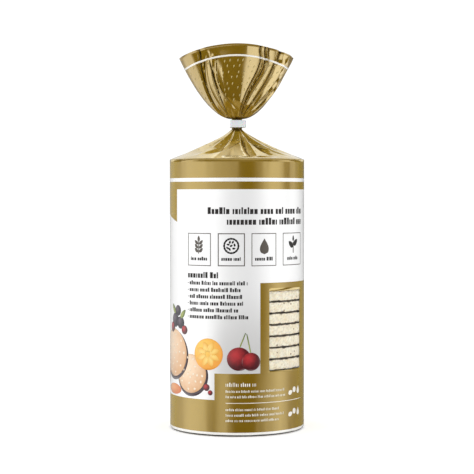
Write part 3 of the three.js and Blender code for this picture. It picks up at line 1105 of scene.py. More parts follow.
PAINTS: tuple[PaintedRound, ...] = (
    PaintedRound("print_cake", (0.97, 0.74, 0.52), (0.74, 0.42, 0.20), 1.6, 0.6),
    PaintedRound("print_cake_grain", (0.99, 0.88, 0.72), (0.84, 0.60, 0.38), 1.5, 0.3),
    PaintedRound("print_jam", (0.10, 0.035, 0.05), (0.035, 0.012, 0.022), 1.2, 0.5),
    PaintedRound("print_plum", (0.13, 0.10, 0.13), (0.018, 0.012, 0.024), 1.0, 0.4),
    PaintedRound("print_leaf", (0.38, 0.42, 0.10), (0.10, 0.16, 0.03), 1.4, 0.3),
    PaintedRound("print_citrus", (0.99, 0.62, 0.10), (0.88, 0.34, 0.02), 1.5, 0.3),
    PaintedRound("print_citrus_flesh", (0.98, 0.70, 0.20), (0.90, 0.46, 0.05), 1.5, 0.3),
    PaintedRound("print_cherry", (0.50, 0.022, 0.028), (0.085, 0.002, 0.006), 1.15, 0.5),
    PaintedRound("print_apricot", (0.92, 0.42, 0.16), (0.70, 0.20, 0.06), 1.4, 0.3),
)


def make_materials() -> None:
    """Makes every material of the pack."""
    groups = NodeGroups()
    MATERIALS.update((finish.name, finish.make(groups)) for finish in FINISHES + PAINTS)


# ---- Printed film ----


@dataclass(frozen=True)
class Artwork:
    """Heights and angles of the fields of colour, the window and the boxes on the sleeve."""

    foot_ring: float = 2.7
    field_low: float = 24.0
    field_step: float = 41.5
    field_high: float = 162.5
    stripe: Span = (167.6, 170.0)
    step_from: float = -18.9
    panel_from: float = 19.5
    panel_to: float = 112.0
    panel_high: float = 101.0
    tab_from: float = -156.0
    tab_to: float = -60.8
    tab_low: float = 146.0
    window: Span = (27.7, 67.0)
    window_heights: Span = (42.7, 95.3)
    boxes: tuple[Span, ...] = ((-44.9, -22.0), (-15.9, 6.5), (12.0, 34.3), (41.4, 68.2))

    def is_white(self, degrees: Array, height: Array) -> Mask:
        """Which places on the sleeve are printed white.

        Args:
            degrees: Angles, from -180 to 180.
            height: Heights.

        Returns:
            True where the print is white, False where it is gold.
        """
        low = np.where(degrees < self.step_from, self.field_low, self.field_step)
        low = np.where((degrees > self.panel_from) & (degrees < self.panel_to),
                       self.panel_high, low)
        tab = (degrees > self.tab_from) & (degrees < self.tab_to)
        high = np.where(tab, self.tab_low, self.field_high)
        ring = (height < self.foot_ring) | (
            (height > self.stripe[0]) & (height < self.stripe[1]))
        return ring | ((height > low) & (height < high))

    def is_window(self, degrees: Array, height: Array) -> Mask:
        """Which places on the sleeve are the clear window, by angle and height."""
        return ((degrees > self.window[0]) & (degrees < self.window[1])
                & (height > self.window_heights[0]) & (height < self.window_heights[1]))


ART = Artwork()


@dataclass
class PrintedFilm:
    """The film itself: shells of sleeve, cone and ruffle that meet edge to edge."""

    wall: float = 0.25
    sleeve_step: float = 1.0  # degrees
    cone_step: float = 0.6
    ruffle_step: float = 0.5
    row_step: float = 2.3  # millimetres between rows on the sleeve
    contact_shadow_to: float = 1.75  # track where the lower edge's painted contact shadow, a band of dark ink, turns white

    def sleeve_columns(self) -> Array:
        """Angles of the sleeve's grid lines, with one on every edge of the print."""
        marks = (ART.tab_from, ART.tab_to, ART.step_from, ART.panel_from, *ART.window,
                 ART.panel_to)
        return spread_lines(-180.0, 180.0, self.sleeve_step, marks)[:-1]

    def sleeve_rows(self) -> Array:
        """Tracks of the sleeve's grid lines, from the base to the foot of the cone."""
        marks = (ART.foot_ring, ART.field_low, *ART.window_heights, ART.field_step,
                 ART.panel_high, ART.tab_low, ART.field_high, *ART.stripe)
        base = np.array([0.02, 0.2, 0.4, 0.6, 0.78, 0.88, 0.95])
        edge = Zone.EDGE + np.linspace(0.0, 1.0, 11)[:-1]
        side = FILM.side_track(spread_lines(FILM.base_edge, FILM.body_height, self.row_step,
                                            marks))[:-1]
        return np.concatenate((base, edge, side, [Zone.CONE]))

    def build_sleeve(self) -> bpy.types.Object:
        """Sleeve with its closed base and the window cut out.

        The cells are coloured by where their middles lie; a dark band round the lower edge is a
        painted contact shadow.

        Returns:
            The piece.
        """
        columns, rows = self.sleeve_columns(), self.sleeve_rows()
        degrees, track = np.meshgrid(columns, rows)
        outer = FILM.place(degrees, track)
        inner = FILM.lifted(degrees, track, -self.wall)
        height = outer[:, 0, 2]
        following = np.append(columns[1:], columns[0] + 360.0)
        cell_a, cell_z = np.meshgrid((columns + following) / 2.0, (height[:-1] + height[1:]) / 2.0)
        foot = rows[:-1, None]
        on_side = foot >= Zone.SIDE
        keep = ~(on_side & ART.is_window(cell_a, cell_z))
        white = np.where(on_side, ART.is_white(cell_a, cell_z), foot >= self.contact_shadow_to)
        # painted shadow: the rounded lower edge is dark where the pack meets the floor
        dark = (foot >= Zone.EDGE) & (foot < self.contact_shadow_to)
        quads = shell_quads(keep, wrap=True)
        slot = np.full(len(quads), 2)
        slot[:keep.sum()] = np.where(dark, 3, np.where(white, 1, 0))[keep]
        # The first row of points closes on a pole on each side instead of on a rim wall.
        count, back = len(columns), track.size
        is_low_rim = (quads[:, :2] < count).all(axis=1) & (quads[:, 2] >= back)
        ring = np.arange(count)
        points = np.concatenate((outer.reshape(-1, 3), inner.reshape(-1, 3),
                                 [[0.0, 0.0, 0.02], [0.0, 0.0, self.wall]]))
        quads = np.concatenate((quads[~is_low_rim], pole_fan(ring, 2 * back, upward=False),
                                pole_fan(ring + back, 2 * back + 1, upward=True)))
        slot = np.concatenate((slot[~is_low_rim], np.full(count, 0), np.full(count, 2)))
        parts = MeshParts()
        parts.add(points, quads, slot)
        return parts.build("film_sleeve", ("gold_film", "white_film", "film_inside", "dark_ink_and_painted_shadow"),
                           "printed_film", replaces=("film_bag",))

    def build_shell(self, name: str, degrees: Array, track: Array) -> bpy.types.Object:
        """A turn of gold film with both its sides and thin rims.

        Args:
            name: The piece's name.
            degrees: Angles of its grid, whose last column joins the first.
            track: Tracks of the same grid.

        Returns:
            The piece.
        """
        # depth holds the painted shade of the folds and the neck
        depth = self.depth_shade(degrees, track)
        parts = MeshParts()
        parts.add_shell(FILM.lifted(degrees, track, 0.0), FILM.lifted(degrees, track, -self.wall),
                        wrap=True, slots=(0, 1), shades=np.stack((0.0 * depth, depth), axis=-1))
        return parts.build(name, ("gold_film_loose", "film_inside"), "printed_film",
                           replaces=("film_bag",))

    @staticmethod
    def depth_shade(degrees: Array, track: Array) -> Array:
        """Painted shade: how dark each place is painted down in a fold and in the gathers
        next to the clip.

        A place lies in a fold by its distance behind the middle of two places 2.5 degrees to
        its sides. The cone's folds are shallower and their painted shade stays lighter.

        Args:
            degrees: Angles round the axis.
            track: Tracks along the film.

        Returns:
            The painted shade, from 0 to 0.95.
        """
        here = FILM.place(degrees, track)
        normal = FILM.lifted(degrees, track, 1.0) - here
        beside = (FILM.place(degrees - 2.5, track) + FILM.place(degrees + 2.5, track)) / 2.0
        behind = ((beside - here) * normal).sum(axis=-1)
        # painted shadow of the clip band on the gathers of the neck
        neck = smooth(track, Zone.NECK - 0.07, Zone.NECK)
        neck = neck * (1.0 - smooth(track, Zone.RUFFLE, Zone.RUFFLE + 0.04))
        most = np.where(track < Zone.NECK, 0.55, 0.9)
        return np.clip(most * smooth(behind, 0.03, 0.3) + 0.8 * neck, 0.0, 0.95)

    def build_cone(self) -> bpy.types.Object:
        """Cone and lower neck."""
        rows = np.concatenate((Zone.CONE + np.linspace(0.0, 1.0, 66) ** 1.1,
                               Zone.NECK + np.array([0.12, 0.3, 0.5])))
        degrees, track = np.meshgrid(np.arange(0.0, 360.0, self.cone_step), rows)
        return self.build_shell("film_cone", degrees, track)

    def build_ruffle(self) -> bpy.types.Object:
        """Upper neck and the fan, on a grid whose columns run along the lines of folding.

        The columns between two neighbouring folds share their gap evenly in every row.
        """
        rows = np.concatenate((Zone.NECK + np.array([0.5, 0.7, 0.88]),
                               Zone.RUFFLE + np.linspace(0.0, 1.0, 50) ** 1.6))
        angles, _ = fold_lines(np.maximum(rows - Zone.RUFFLE, 0.0))
        angles = np.concatenate((angles, angles[:, :1] + 360.0), axis=1)
        gaps = np.diff(angles, axis=1)
        counts = np.maximum(1, np.round(gaps.mean(axis=0) / self.ruffle_step)).astype(int)
        degrees = np.concatenate([
            angles[:, k:k + 1] + gaps[:, k:k + 1] * np.arange(count) / count
            for k, count in enumerate(counts)], axis=1)
        track = np.broadcast_to(rows[:, None], degrees.shape)
        return self.build_shell("film_ruffle", degrees, track)

    def build_window(self) -> bpy.types.Object:
        """The unprinted film over the cakes, edge to edge with the print.

        Returns:
            The piece.
        """
        columns = self.sleeve_columns()
        columns = columns[(columns >= ART.window[0]) & (columns <= ART.window[1])]
        heights = spread_lines(*ART.window_heights, 2.0, ())
        degrees, track = np.meshgrid(columns, FILM.side_track(heights))
        parts = MeshParts()
        parts.add_shell(FILM.lifted(degrees, track, -0.02), FILM.lifted(degrees, track, -0.09))
        return parts.build("film_window", ("clear_film",), "clear_film")

    def build_lap(self) -> bpy.types.Object:
        """The lap seam down the back: a raised strip with fine crimps across it.

        Its lift is flat with edges that fall by the eighth power, plus a cosine of the height.

        Returns:
            The piece.
        """
        u, height = np.meshgrid(np.linspace(-1.0, 1.0, 15), np.arange(3.0, 178.2, 0.5))
        lift = 0.24 * (1.0 - 0.92 * u ** 8) + 0.04 * np.cos(2.0 * np.pi * height / 2.0)
        lift = np.maximum(lift - 0.04, 0.015)
        degrees, track = 180.0 + 6.0 * u, FILM.side_track(height)
        parts = MeshParts()
        parts.add_shell(FILM.lifted(degrees, track, lift), FILM.lifted(degrees, track, -0.03))
        return parts.build("film_lap", ("gold_film",), "printed_film")

    def build(self) -> None:
        """Builds the five pieces of film."""
        self.build_sleeve()
        self.build_lap()
        self.build_cone()
        self.build_ruffle()
        self.build_window()


# ---- Printed marks ----


@dataclass
class Ink:
    """Marks of ink on the film: thin closed patches that follow the film's form.

    A patch is a grid over (u, v) from -1 to 1, mapped to the film's angle and height. Its outer
    side stands proud of the film by the lift, and its inner side lies under the film's surface.
    """

    name: str
    materials: Sequence[str]
    lift: float = 0.05
    sunk: float = 0.03
    parts: MeshParts = field(default_factory=MeshParts)  # points hold angle, track and lift

    def patch(self, degrees: Array, track: Array, shades: Array | None = None, index: int = 0,
              lift: float | None = None) -> None:
        """Adds one closed patch.

        Args:
            degrees: Angles of the patch's grid, rows upwards and columns towards +X.
            track: Tracks of the same grid.
            shades: Two numbers for each point, for materials that read them.
            index: Material index.
            lift: Millimetres proud of the film, where not the layer's own.
        """
        up = self.lift if lift is None else lift
        outer, inner = (np.stack(np.broadcast_arrays(degrees, track, height), axis=-1)
                        for height in (up, -self.sunk))
        self.parts.add_shell(outer, inner, slots=(index, index), shades=shades)

    def bar(self, angles: Span, heights: Span) -> None:
        """A plain rectangle on the sleeve, with a line at every 3 degrees and 4 mm or less."""
        columns = np.linspace(*angles, max(2, math.ceil(abs(angles[1] - angles[0]) / 3.0) + 1))
        rows = np.linspace(*heights, max(2, math.ceil((heights[1] - heights[0]) / 4.0) + 1))
        degrees, height = np.meshgrid(columns, rows)
        self.patch(degrees, FILM.side_track(height))

    def outline(self, angles: Span, heights: Span, thick: float) -> None:
        """Four bars round a rectangle, inside its edges."""
        wide = thick / arc()
        (a0, a1), (z0, z1) = angles, heights
        self.bar((a0, a1), (z0, z0 + thick))
        self.bar((a0, a1), (z1 - thick, z1))
        self.bar((a0, a0 + wide), (z0 + thick, z1 - thick))
        self.bar((a1 - wide, a1), (z0 + thick, z1 - thick))

    def shape(self, centre: Spot, across: float, tall: float, turn: float = 0.0,
              outline: Outline | None = None, steps: int = 9, index: int = 0,
              lift: float | None = None) -> None:
        """A rounded shape on the sleeve: a disc, or a petal with a given half width.

        The disc is the square grid pulled in to a circle: x = u sqrt(1 - v^2/2) and
        y = v sqrt(1 - u^2/2). A petal is y = v times the half width at u.

        Args:
            centre: Angle and height of its middle.
            across: Half of its length, in millimetres.
            tall: Half of its width, in millimetres.
            turn: Degrees that it is turned, from level towards upright.
            outline: Half width at u as a share of tall, or None for a disc.
            steps: Grid lines each way.
            index: Material index.
            lift: Millimetres proud of the film, where not the layer's own.
        """
        v, u = np.meshgrid(np.linspace(-1.0, 1.0, steps), np.linspace(-1.0, 1.0, steps),
                           indexing="ij")
        if outline is None:
            x, y = u * np.sqrt(1.0 - v * v / 2.0), v * np.sqrt(1.0 - u * u / 2.0)
        else:
            x, y = u, v * np.maximum(outline(u), 0.04)
        c, s = math.cos(math.radians(turn)), math.sin(math.radians(turn))
        degrees, height = moved(centre, across * x * c - tall * y * s,
                                across * x * s + tall * y * c)
        self.patch(degrees, FILM.side_track(height), np.stack((x, y), axis=-1), index, lift)

    def words(self, start: float, stop: float, height: float, tall: float, seed: int,
              bold: float = 1.0) -> None:
        """A line of plain upright blocks that stand where words would.

        The blocks come in groups. Each has one of three widths, and one in four is taller.

        Args:
            start: Angle where the line starts.
            stop: Angle where the line ends.
            height: Height of the middle of a low block.
            tall: Height of a low block, in millimetres.
            seed: Seed of the widths and groups.
            bold: How wide the blocks are.
        """
        rng = np.random.default_rng(seed)
        at, left = start, int(rng.integers(3, 9))
        foot = height - tall / 2.0
        while at < stop - 0.2 * tall / arc():
            wide = bold * tall * float(rng.choice((0.24, 0.42, 0.52))) / arc()
            top = tall * (1.35 if rng.random() < 0.25 else 1.0)
            self.bar((at, min(at + wide, stop)), (foot, foot + top))
            at += wide + 0.25 / bold * tall / arc()
            left -= 1
            if left == 0:
                at, left = at + 0.45 * tall / arc(), int(rng.integers(3, 9))

    def build(self) -> bpy.types.Object:
        """Puts every patch on the film at once and makes the piece."""
        places = np.concatenate(self.parts.points)
        self.parts.points = [FILM.lifted(*places.T)]
        return self.parts.build(self.name, self.materials, "printed_film")


def arc() -> float:
    """Millimetres of film in a degree of the sleeve."""
    return math.radians(FILM.body_radius)


def moved(spot: Spot, across: Array | float, up: Array | float) -> Spot:
    """The place so many millimetres across and up from a spot on the sleeve."""
    return spot[0] + across / arc(), spot[1] + up


def turned(spot: Spot, reach: float, degrees: float) -> Spot:
    """The place at a reach in millimetres from a spot on the sleeve, in a direction."""
    t = math.radians(degrees)
    return moved(spot, reach * math.cos(t), reach * math.sin(t))


def capsule(aspect: float) -> Outline:
    """Half width of a bar with round ends, whose length is aspect times its height."""
    return lambda u: np.sqrt(1.0 - 0.7 * smooth(np.abs(u), 1.0 - 1.0 / aspect, 1.0))


def petal(u: Array) -> Array:
    """Half width of a leaf or a grain: the square root of a half circle, blunt at its foot."""
    return (1.0 - u ** 2) ** 0.65 * (1.0 - 0.25 * u)


def drop(u: Array) -> Array:
    """Half width of a drop: round at u = -1 and drawn out to a tip at u = 1."""
    return np.sqrt(np.maximum(0.0, 1.0 - u ** 2)) * (0.5 - 0.5 * u) ** 0.55 * 1.25


@dataclass
class PrintedMarks:
    """Everything printed on the film: blocks for words, boxes, signs, a picture and grains."""

    rim_line: Span = (8.3, 7.1)  # millimetres of its two edges below the ruffle's rim
    grain_pitch: float = 5.4  # millimetres between the grains of a row

    def build_words(self) -> None:
        """Dark blocks: two title lines, a heading, six lines, captions, and rows behind."""
        ink = Ink("print_words", ("dark_ink_and_painted_shadow",))
        ink.words(-24.8, 68.6, 147.9, 3.3, 31, 1.3)
        ink.words(-8.3, 68.6, 140.9, 3.3, 32, 1.3)
        ink.words(-44.9, -14.0, 105.6, 2.9, 33, 1.3)
        ends = (8.6, 2.9, 5.4, 5.1, 1.6, 9.9)
        for row, end in enumerate(ends):
            height = 100.6 - 4.45 * row
            ink.bar((-45.2, -44.2), (height - 0.1, height + 0.4))
            ink.words(-42.9, end, height, 2.0, 40 + row, 1.25)
        for row, (low, high) in enumerate(ART.boxes):
            middle = (low + high) / 2.0
            ink.words(middle - 8.2, middle + 8.2, 116.6, 1.8, 60 + row, 1.3)
        for row in range(11):
            ink.words(124.0, 160.0 - 9.0 * (row % 4 == 3), 116.0 - 4.9 * row, 1.5, 90 + row)
        ink.build()

    def build_boxes(self) -> None:
        """Thin outlines of the four boxes and of the panel behind, and a sign in each box."""
        ink = Ink("print_boxes", ("box_ink", "dark_ink_and_painted_shadow"), lift=0.045)
        for number, (low, high) in enumerate(ART.boxes):
            ink.outline((low, high), (112.1, 133.7), 0.62 if number == 1 else 0.5)
        ink.outline((120.5, 163.5), (61.0, 122.0), 0.5)
        self._ear(ink, (-33.4, 120.4))
        self._cake(ink, (-4.7, 125.4))
        ink.shape((23.1, 125.0), 5.1, 3.4, turn=90.0, outline=drop, steps=13)
        self._sprout(ink, (54.8, 120.6))
        ink.build()

    @staticmethod
    def _ear(ink: Ink, foot: Spot) -> None:
        """An ear of grain: a stalk, three pairs of grains and one on top."""
        a, z = foot
        ink.bar((a - 0.35 / arc(), a + 0.35 / arc()), (z - 0.3, z + 8.0))
        for row in range(3):
            for side in (-1.0, 1.0):
                ink.shape(moved(foot, side * 1.85, 2.0 + 2.6 * row), 1.9, 0.98,
                          turn=90.0 - side * 42.0, outline=petal)
        ink.shape((a, z + 9.6), 2.0, 0.95, turn=90.0, outline=petal)

    @staticmethod
    def _cake(ink: Ink, centre: Spot) -> None:
        """A round cake: a ring of short bars with grains inside it."""
        for k in range(16):
            ink.shape(turned(centre, 4.7, 22.5 * k), 1.05, 0.62, turn=90.0 + 22.5 * k,
                      outline=capsule(2.0), steps=5, index=1)
        for k, (x, y) in enumerate(((0.0, 0.1), (2.2, 0.6), (-2.1, 0.9), (1.0, 2.4),
                                    (-1.1, -2.2), (1.7, -1.7), (-0.9, 2.5), (-2.5, -1.3))):
            ink.shape(moved(centre, x, y), 1.15, 0.66, turn=35.0 + 67.0 * k, outline=petal,
                      steps=5, index=1)

    @staticmethod
    def _sprout(ink: Ink, foot: Spot) -> None:
        """A seedling: a stem with two leaves and a bud."""
        a, z = foot
        ink.bar((a - 0.45 / arc(), a + 0.45 / arc()), (z - 0.3, z + 7.0))
        for x, y, size, half, turn in ((-2.6, 5.4, 3.1, 1.75, 140.0), (2.7, 6.6, 3.1, 1.75, 40.0),
                                       (0.0, 9.3, 2.0, 0.95, 90.0)):
            ink.shape(moved(foot, x, y), size, half, turn=turn, outline=petal, index=1)

    def build_pale(self) -> None:
        """Pale marks on the gold: a heading, five lines, a rule, two groups of plain signs."""
        ink = Ink("print_pale", ("pale_ink",))
        ink.words(-9.3, 16.5, 34.0, 2.0, 71, 0.8)
        for row, (height, end) in enumerate(((29.7, 43.0), (26.1, 44.5), (17.6, 38.0),
                                             (14.0, 43.0), (10.4, 37.0))):
            ink.words(-9.3, end, height, 1.25, 80 + row, 0.8)
        ink.bar((-9.3, 69.0), (21.9, 22.3))
        for height in (28.2, 13.8):
            ink.shape((51.0, height - 1.0), 2.4, 1.5, turn=18.0, outline=petal)
            ink.shape((56.5, height + 0.6), 1.9, 1.9)
            ink.shape((63.0, height), 2.5, 1.9, turn=90.0, outline=drop)
        ink.build()

    def build_tab(self) -> None:
        """The cut corner at the lower end of the gold tab: a wedge that ends in a point.

        Its lower edge climbs in a straight line from the tab's inner edge.
        """
        ink = Ink("print_tab", ("gold_film",), lift=0.03)
        v, u = np.meshgrid(np.linspace(0.0, 1.0, 9), np.linspace(0.0, 1.0, 19), indexing="ij")
        high = ART.tab_low + 0.1
        low = ART.tab_low - 5.2 + 5.0 * u
        ink.patch(ART.tab_to - 21.0 * u[:, ::-1],
                  FILM.side_track(low + (high - low) * v)[:, ::-1])
        ink.build()

    def build_picture(self) -> None:
        """A generic still life: round cakes, plums, a citrus wheel, cherries and an apricot."""
        names = tuple(paint.name for paint in PAINTS)
        ink = Ink("print_picture", names, lift=0.04)
        index = {name.removeprefix("print_"): number for number, name in enumerate(names)}
        rng = np.random.default_rng(12)

        def disc(key: str, spot: Spot, size: float, lift: float, steps: int) -> None:
            """Adds a round thing with a radius in millimetres."""
            ink.shape(spot, size, size, steps=steps, index=index[key], lift=lift)

        for a, z, radius, lift in ((-42.5, 40.5, 13.0, 0.05), (-66.5, 53.0, 16.0, 0.09),
                                   (-99.0, 41.5, 14.0, 0.05), (-125.0, 47.0, 16.0, 0.09)):
            disc("jam", (a + 0.8, z - 1.3), radius + 0.9, lift - 0.015, 21)
            disc("cake", (a, z), radius, lift, 21)
            ring = [(r, t) for r in (0.2, 0.5, 0.8) for t in np.arange(0, 360, 36 / (r + 0.2))]
            for r, t in ring:
                t, r = t + rng.uniform(-9, 9), r * radius + rng.uniform(-0.5, 0.5)
                ink.shape(turned((a, z), r, t), 1.15, 0.85, turn=rng.uniform(0, 180),
                          outline=petal, steps=5, index=index["cake_grain"], lift=lift + 0.02)
        disc("citrus", (-24.6, 54.0), 10.4, 0.12, 21)
        for turn in np.arange(20.0, 380.0, 45.0):
            ink.shape(turned((-24.6, 54.0), 5.1, turn), 3.7, 2.1, turn=turn, outline=petal,
                      steps=7, index=index["citrus_flesh"], lift=0.14)
        for a, z, size in ((-64.0, 75.0, 4.8), (-55.0, 73.6, 4.1), (-59.0, 81.5, 3.6),
                           (-104.0, 60.0, 4.2)):
            disc("plum", (a, z), size, 0.12, 11)
        for a, z, size in ((-69.5, 70.0, 3.4), (-49.5, 69.0, 3.0)):
            disc("cherry", (a, z), size, 0.13, 9)
        for a, z, turn in ((-66.5, 82.5, 130.0), (-51.5, 79.5, 48.0)):
            ink.shape((a, z), 4.0, 1.7, turn=turn, outline=petal, index=index["leaf"], lift=0.14)
        for a, z, size, lift in ((1.6, 51.2, 8.0, 0.1), (11.6, 49.4, 6.2, 0.12)):
            ink.shape((a, z), size, size * 0.96, steps=15, index=index["cherry"], lift=lift)
        for a, z, tall, turn in ((4.6, 63.4, 5.4, 68.0), (9.8, 60.9, 7.0, 102.0)):
            ink.shape((a, z), tall, 0.38, turn=turn, outline=capsule(16.0), steps=7,
                      index=index["leaf"], lift=0.08)
        ink.shape((-66.0, 28.6), 9.5, 3.6, steps=13, index=index["apricot"], lift=0.12)
        for a, z, size in ((-26.0, 32.0, 2.3), (-22.6, 28.6, 1.7)):
            disc("cherry", (a, z), size, 0.1, 9)
        ink.build()

    def build_rim_line(self) -> None:
        """Pale line that runs at a set distance below the ruffle's rim."""
        ink = Ink("print_rim_line", ("pale_ink",), lift=0.06, sunk=0.02)
        columns = np.arange(-180.0, 180.5, 0.5)
        rise = FILM.ruffle(np.ones_like(columns), columns)[1] - FILM.ruffle_foot
        low, high = (1.0 - below / rise for below in self.rim_line)
        track = Zone.RUFFLE + np.linspace(low, high, 3)
        ink.patch(columns, track)
        ink.build()

    def build_grains(self) -> None:
        """Rows of small pale grains on the ruffle and the cone.

        A row has even steps along its own length, and every other row is moved by half a step.
        """
        ink = Ink("print_grains", ("grain_ink",), lift=0.06, sunk=0.02)
        rng = np.random.default_rng(8)
        rows = [Zone.RUFFLE + h for h in np.arange(0.25, 0.80, 0.075)]
        rows += [Zone.CONE + w for w in (0.40, 0.56, 0.72)]
        v, u = np.meshgrid(np.linspace(-1.0, 1.0, 5), np.linspace(-1.0, 1.0, 3), indexing="ij")
        half = drop(-v) * 0.48 * u
        for number, track in enumerate(rows):
            ring = FILM.place(np.arange(-180.0, 180.0, 2.0), track)
            radius = float(np.hypot(ring[:, 0], ring[:, 1]).mean())
            up = 0.021 if track > Zone.RUFFLE else -0.02
            count = max(6, round(2.0 * math.pi * radius / self.grain_pitch))
            for at in -180.0 + (np.arange(count) + 0.5 * (number % 2)) * 360.0 / count:
                degrees = at + np.degrees((half + 0.35 * v + rng.uniform(-1.2, 1.2)) / radius)
                ink.patch(degrees, track + rng.uniform(-0.014, 0.014) + up * v)
        ink.build()

    def build(self) -> None:
        """Builds every layer of marks."""
        self.build_words()
        self.build_boxes()
        self.build_pale()
        self.build_tab()
        self.build_picture()
        self.build_rim_line()
        self.build_grains()


# ---- Cakes ----


@dataclass
class RiceCakes:
    """Seven round cakes of puffed grain, whose edges show through the window."""

    count: int = 7
    low: float = 42.7
    pitch: float = 7.6
    gap: float = 0.26
    radius: float = 45.5
    columns: int = 420
    side_rows: int = 15
    face_rings: int = 16
    cell: float = 2.3  # size of a puffed grain
    relief: float = 0.32
    edge: float = 1.9  # width of the rounded edge
    edge_power: Span = (0.28, 0.8)  # of the superellipse, out and up
    pole_inset: float = 0.3

    def grains(self, points: Array, seed: int) -> tuple[Array, Array, Array]:
        """Cellular relief of puffed grains.

        Space is cut into jittered cells. A point takes the nearest seed: the relief is a dome,
        the square root of 1 - d^2 of the distance d, and the groove is where the two nearest
        seeds are almost as near.

        Args:
            points: Points in millimetres.
            seed: Seed of the jitter.

        Returns:
            The dome from 0 to 1, the groove from 0 to 1, and a random number for each grain.
        """
        scaled = points / np.array([self.cell, self.cell, self.cell * 0.72])
        base = np.floor(scaled).astype(np.int64)
        near = np.full(len(points), 9.0)
        second = np.full(len(points), 9.0)
        own = np.zeros(len(points))
        steps = np.arange(-1, 2)
        for offset in np.stack(np.meshgrid(steps, steps, steps), axis=-1).reshape(-1, 3):
            cell = base + offset
            jitter = np.stack([hashed(cell, seed + k) for k in range(3)], axis=-1)
            away = np.linalg.norm(cell + jitter - scaled, axis=1)
            closer = away < near
            second = np.where(closer, near, np.minimum(second, away))
            own = np.where(closer, hashed(cell, seed + 7), own)
            near = np.where(closer, away, near)
        dome = np.sqrt(np.maximum(0.0, 1.0 - np.minimum(near, 1.0) ** 2))
        groove = 1.0 - smooth(second - near, 0.0, 0.22)
        return dome, groove, own

    def build_cake(self, number: int) -> bpy.types.Object:
        """One cake: a disc with a rounded, chipped edge and puffed relief all over.

        The section runs from the middle of the lower face, round the side and back to the
        middle of the upper face. The side's corner is a superellipse, and its chips are a
        ripple of the angle that lets the edge fall back.

        Args:
            number: 0 for the lowest.

        Returns:
            The piece.
        """
        low = self.low + number * self.pitch + self.gap / 2.0
        thick = self.pitch - self.gap
        columns = np.arange(self.columns) * 360.0 / self.columns
        inward = 1.0 - np.linspace(0.0, 1.0, self.face_rings) ** 0.8 * 0.98
        turn = np.linspace(-90.0, 90.0, self.side_rows)
        side_out = np.abs(np.cos(np.radians(turn))) ** self.edge_power[0]
        side_up = np.sign(turn) * np.abs(np.sin(np.radians(turn))) ** self.edge_power[1]
        flat = self.radius - self.edge
        radius = np.concatenate((inward[:0:-1] * flat, flat + self.edge * side_out,
                                 inward[1:] * flat))
        height = np.concatenate((np.full(self.face_rings - 1, -1.0), side_up,
                                 np.full(self.face_rings - 1, 1.0)))
        degrees, radius = np.meshgrid(columns, radius)
        height = np.broadcast_to(height[:, None], radius.shape).copy()
        rim = smooth(radius, self.radius - 7.0, self.radius)
        chips = ripple(degrees, (17, 29, 43, 61), 100 + number)
        chips_low = ripple(degrees, (19, 31, 47, 67), 120 + number)
        fall = np.where(height > 0, 0.20 + 0.24 * chips, 0.16 + 0.22 * chips_low)
        fall = np.clip(fall, 0.02, 0.8) * rim
        points = round_axis(degrees, radius, height * (thick / 2.0 - fall)).reshape(-1, 3)
        dome, groove, own = self.grains(points + [0.0, 0.0, 40.0 * number], 500 + 31 * number)
        depth = self.relief * (1.0 - dome) + 0.1 * groove
        out = round_axis(degrees, rim, 0.6 * height).reshape(-1, 3)
        length = np.maximum(np.linalg.norm(out, axis=1, keepdims=True), 1e-6)
        points = points - out / length * depth[:, None]
        points[:, 2] += low + thick / 2.0
        ring = np.arange(self.columns)
        count = len(points)
        poles = [[0.0, 0.0, low + self.pole_inset], [0.0, 0.0, low + thick - self.pole_inset]]
        quads = np.concatenate((grid_quads(len(degrees), self.columns, wrap=True),
                                pole_fan(ring, count, upward=False),
                                pole_fan(ring + count - self.columns, count + 1, upward=True)))
        # painted shade: darker in the grooves and at the upper and lower edges, in the gaps between
        # cakes
        gap_shade = np.clip(groove * 0.2 + smooth(np.abs(height.ravel()), 0.86, 0.98)
                        * rim.ravel() * 0.95, 0.0, 1.0)
        shades = np.stack((own, gap_shade), axis=-1)
        shades = np.concatenate((shades, [[0.5, 0.0], [0.5, 0.0]]))
        parts = MeshParts()
        parts.add(np.concatenate((points, poles)), quads, 0, shades)
        name = f"puffed_cake_{number + 1}"
        return parts.build(name, ("puffed_rice",), "puffed_rice",
                           replaces=(f"rice_cake_{number + 1}",))

    def build(self) -> None:
        """Builds every cake."""
        for number in range(self.count):
            self.build_cake(number)


def hashed(cell: Whole, seed: int) -> Array:
    """A repeatable random number from 0 to 1 for each cell.

    Args:
        cell: Whole numbers, with a last axis of 3.
        seed: Seed of the numbers.

    Returns:
        One number for each cell.
    """
    mixed = (cell[..., 0] * 73856093) ^ (cell[..., 1] * 19349663) ^ (cell[..., 2] * 83492791)
    mixed = (mixed ^ (seed * 2654435761)) & 0xFFFFFFFF
    mixed = ((mixed ^ (mixed >> 15)) * 2246822519) & 0xFFFFFFFF
    mixed = ((mixed ^ (mixed >> 13)) * 3266489917) & 0xFFFFFFFF
    return (mixed ^ (mixed >> 16)) / 4294967295.0


# ---- Clip band ----


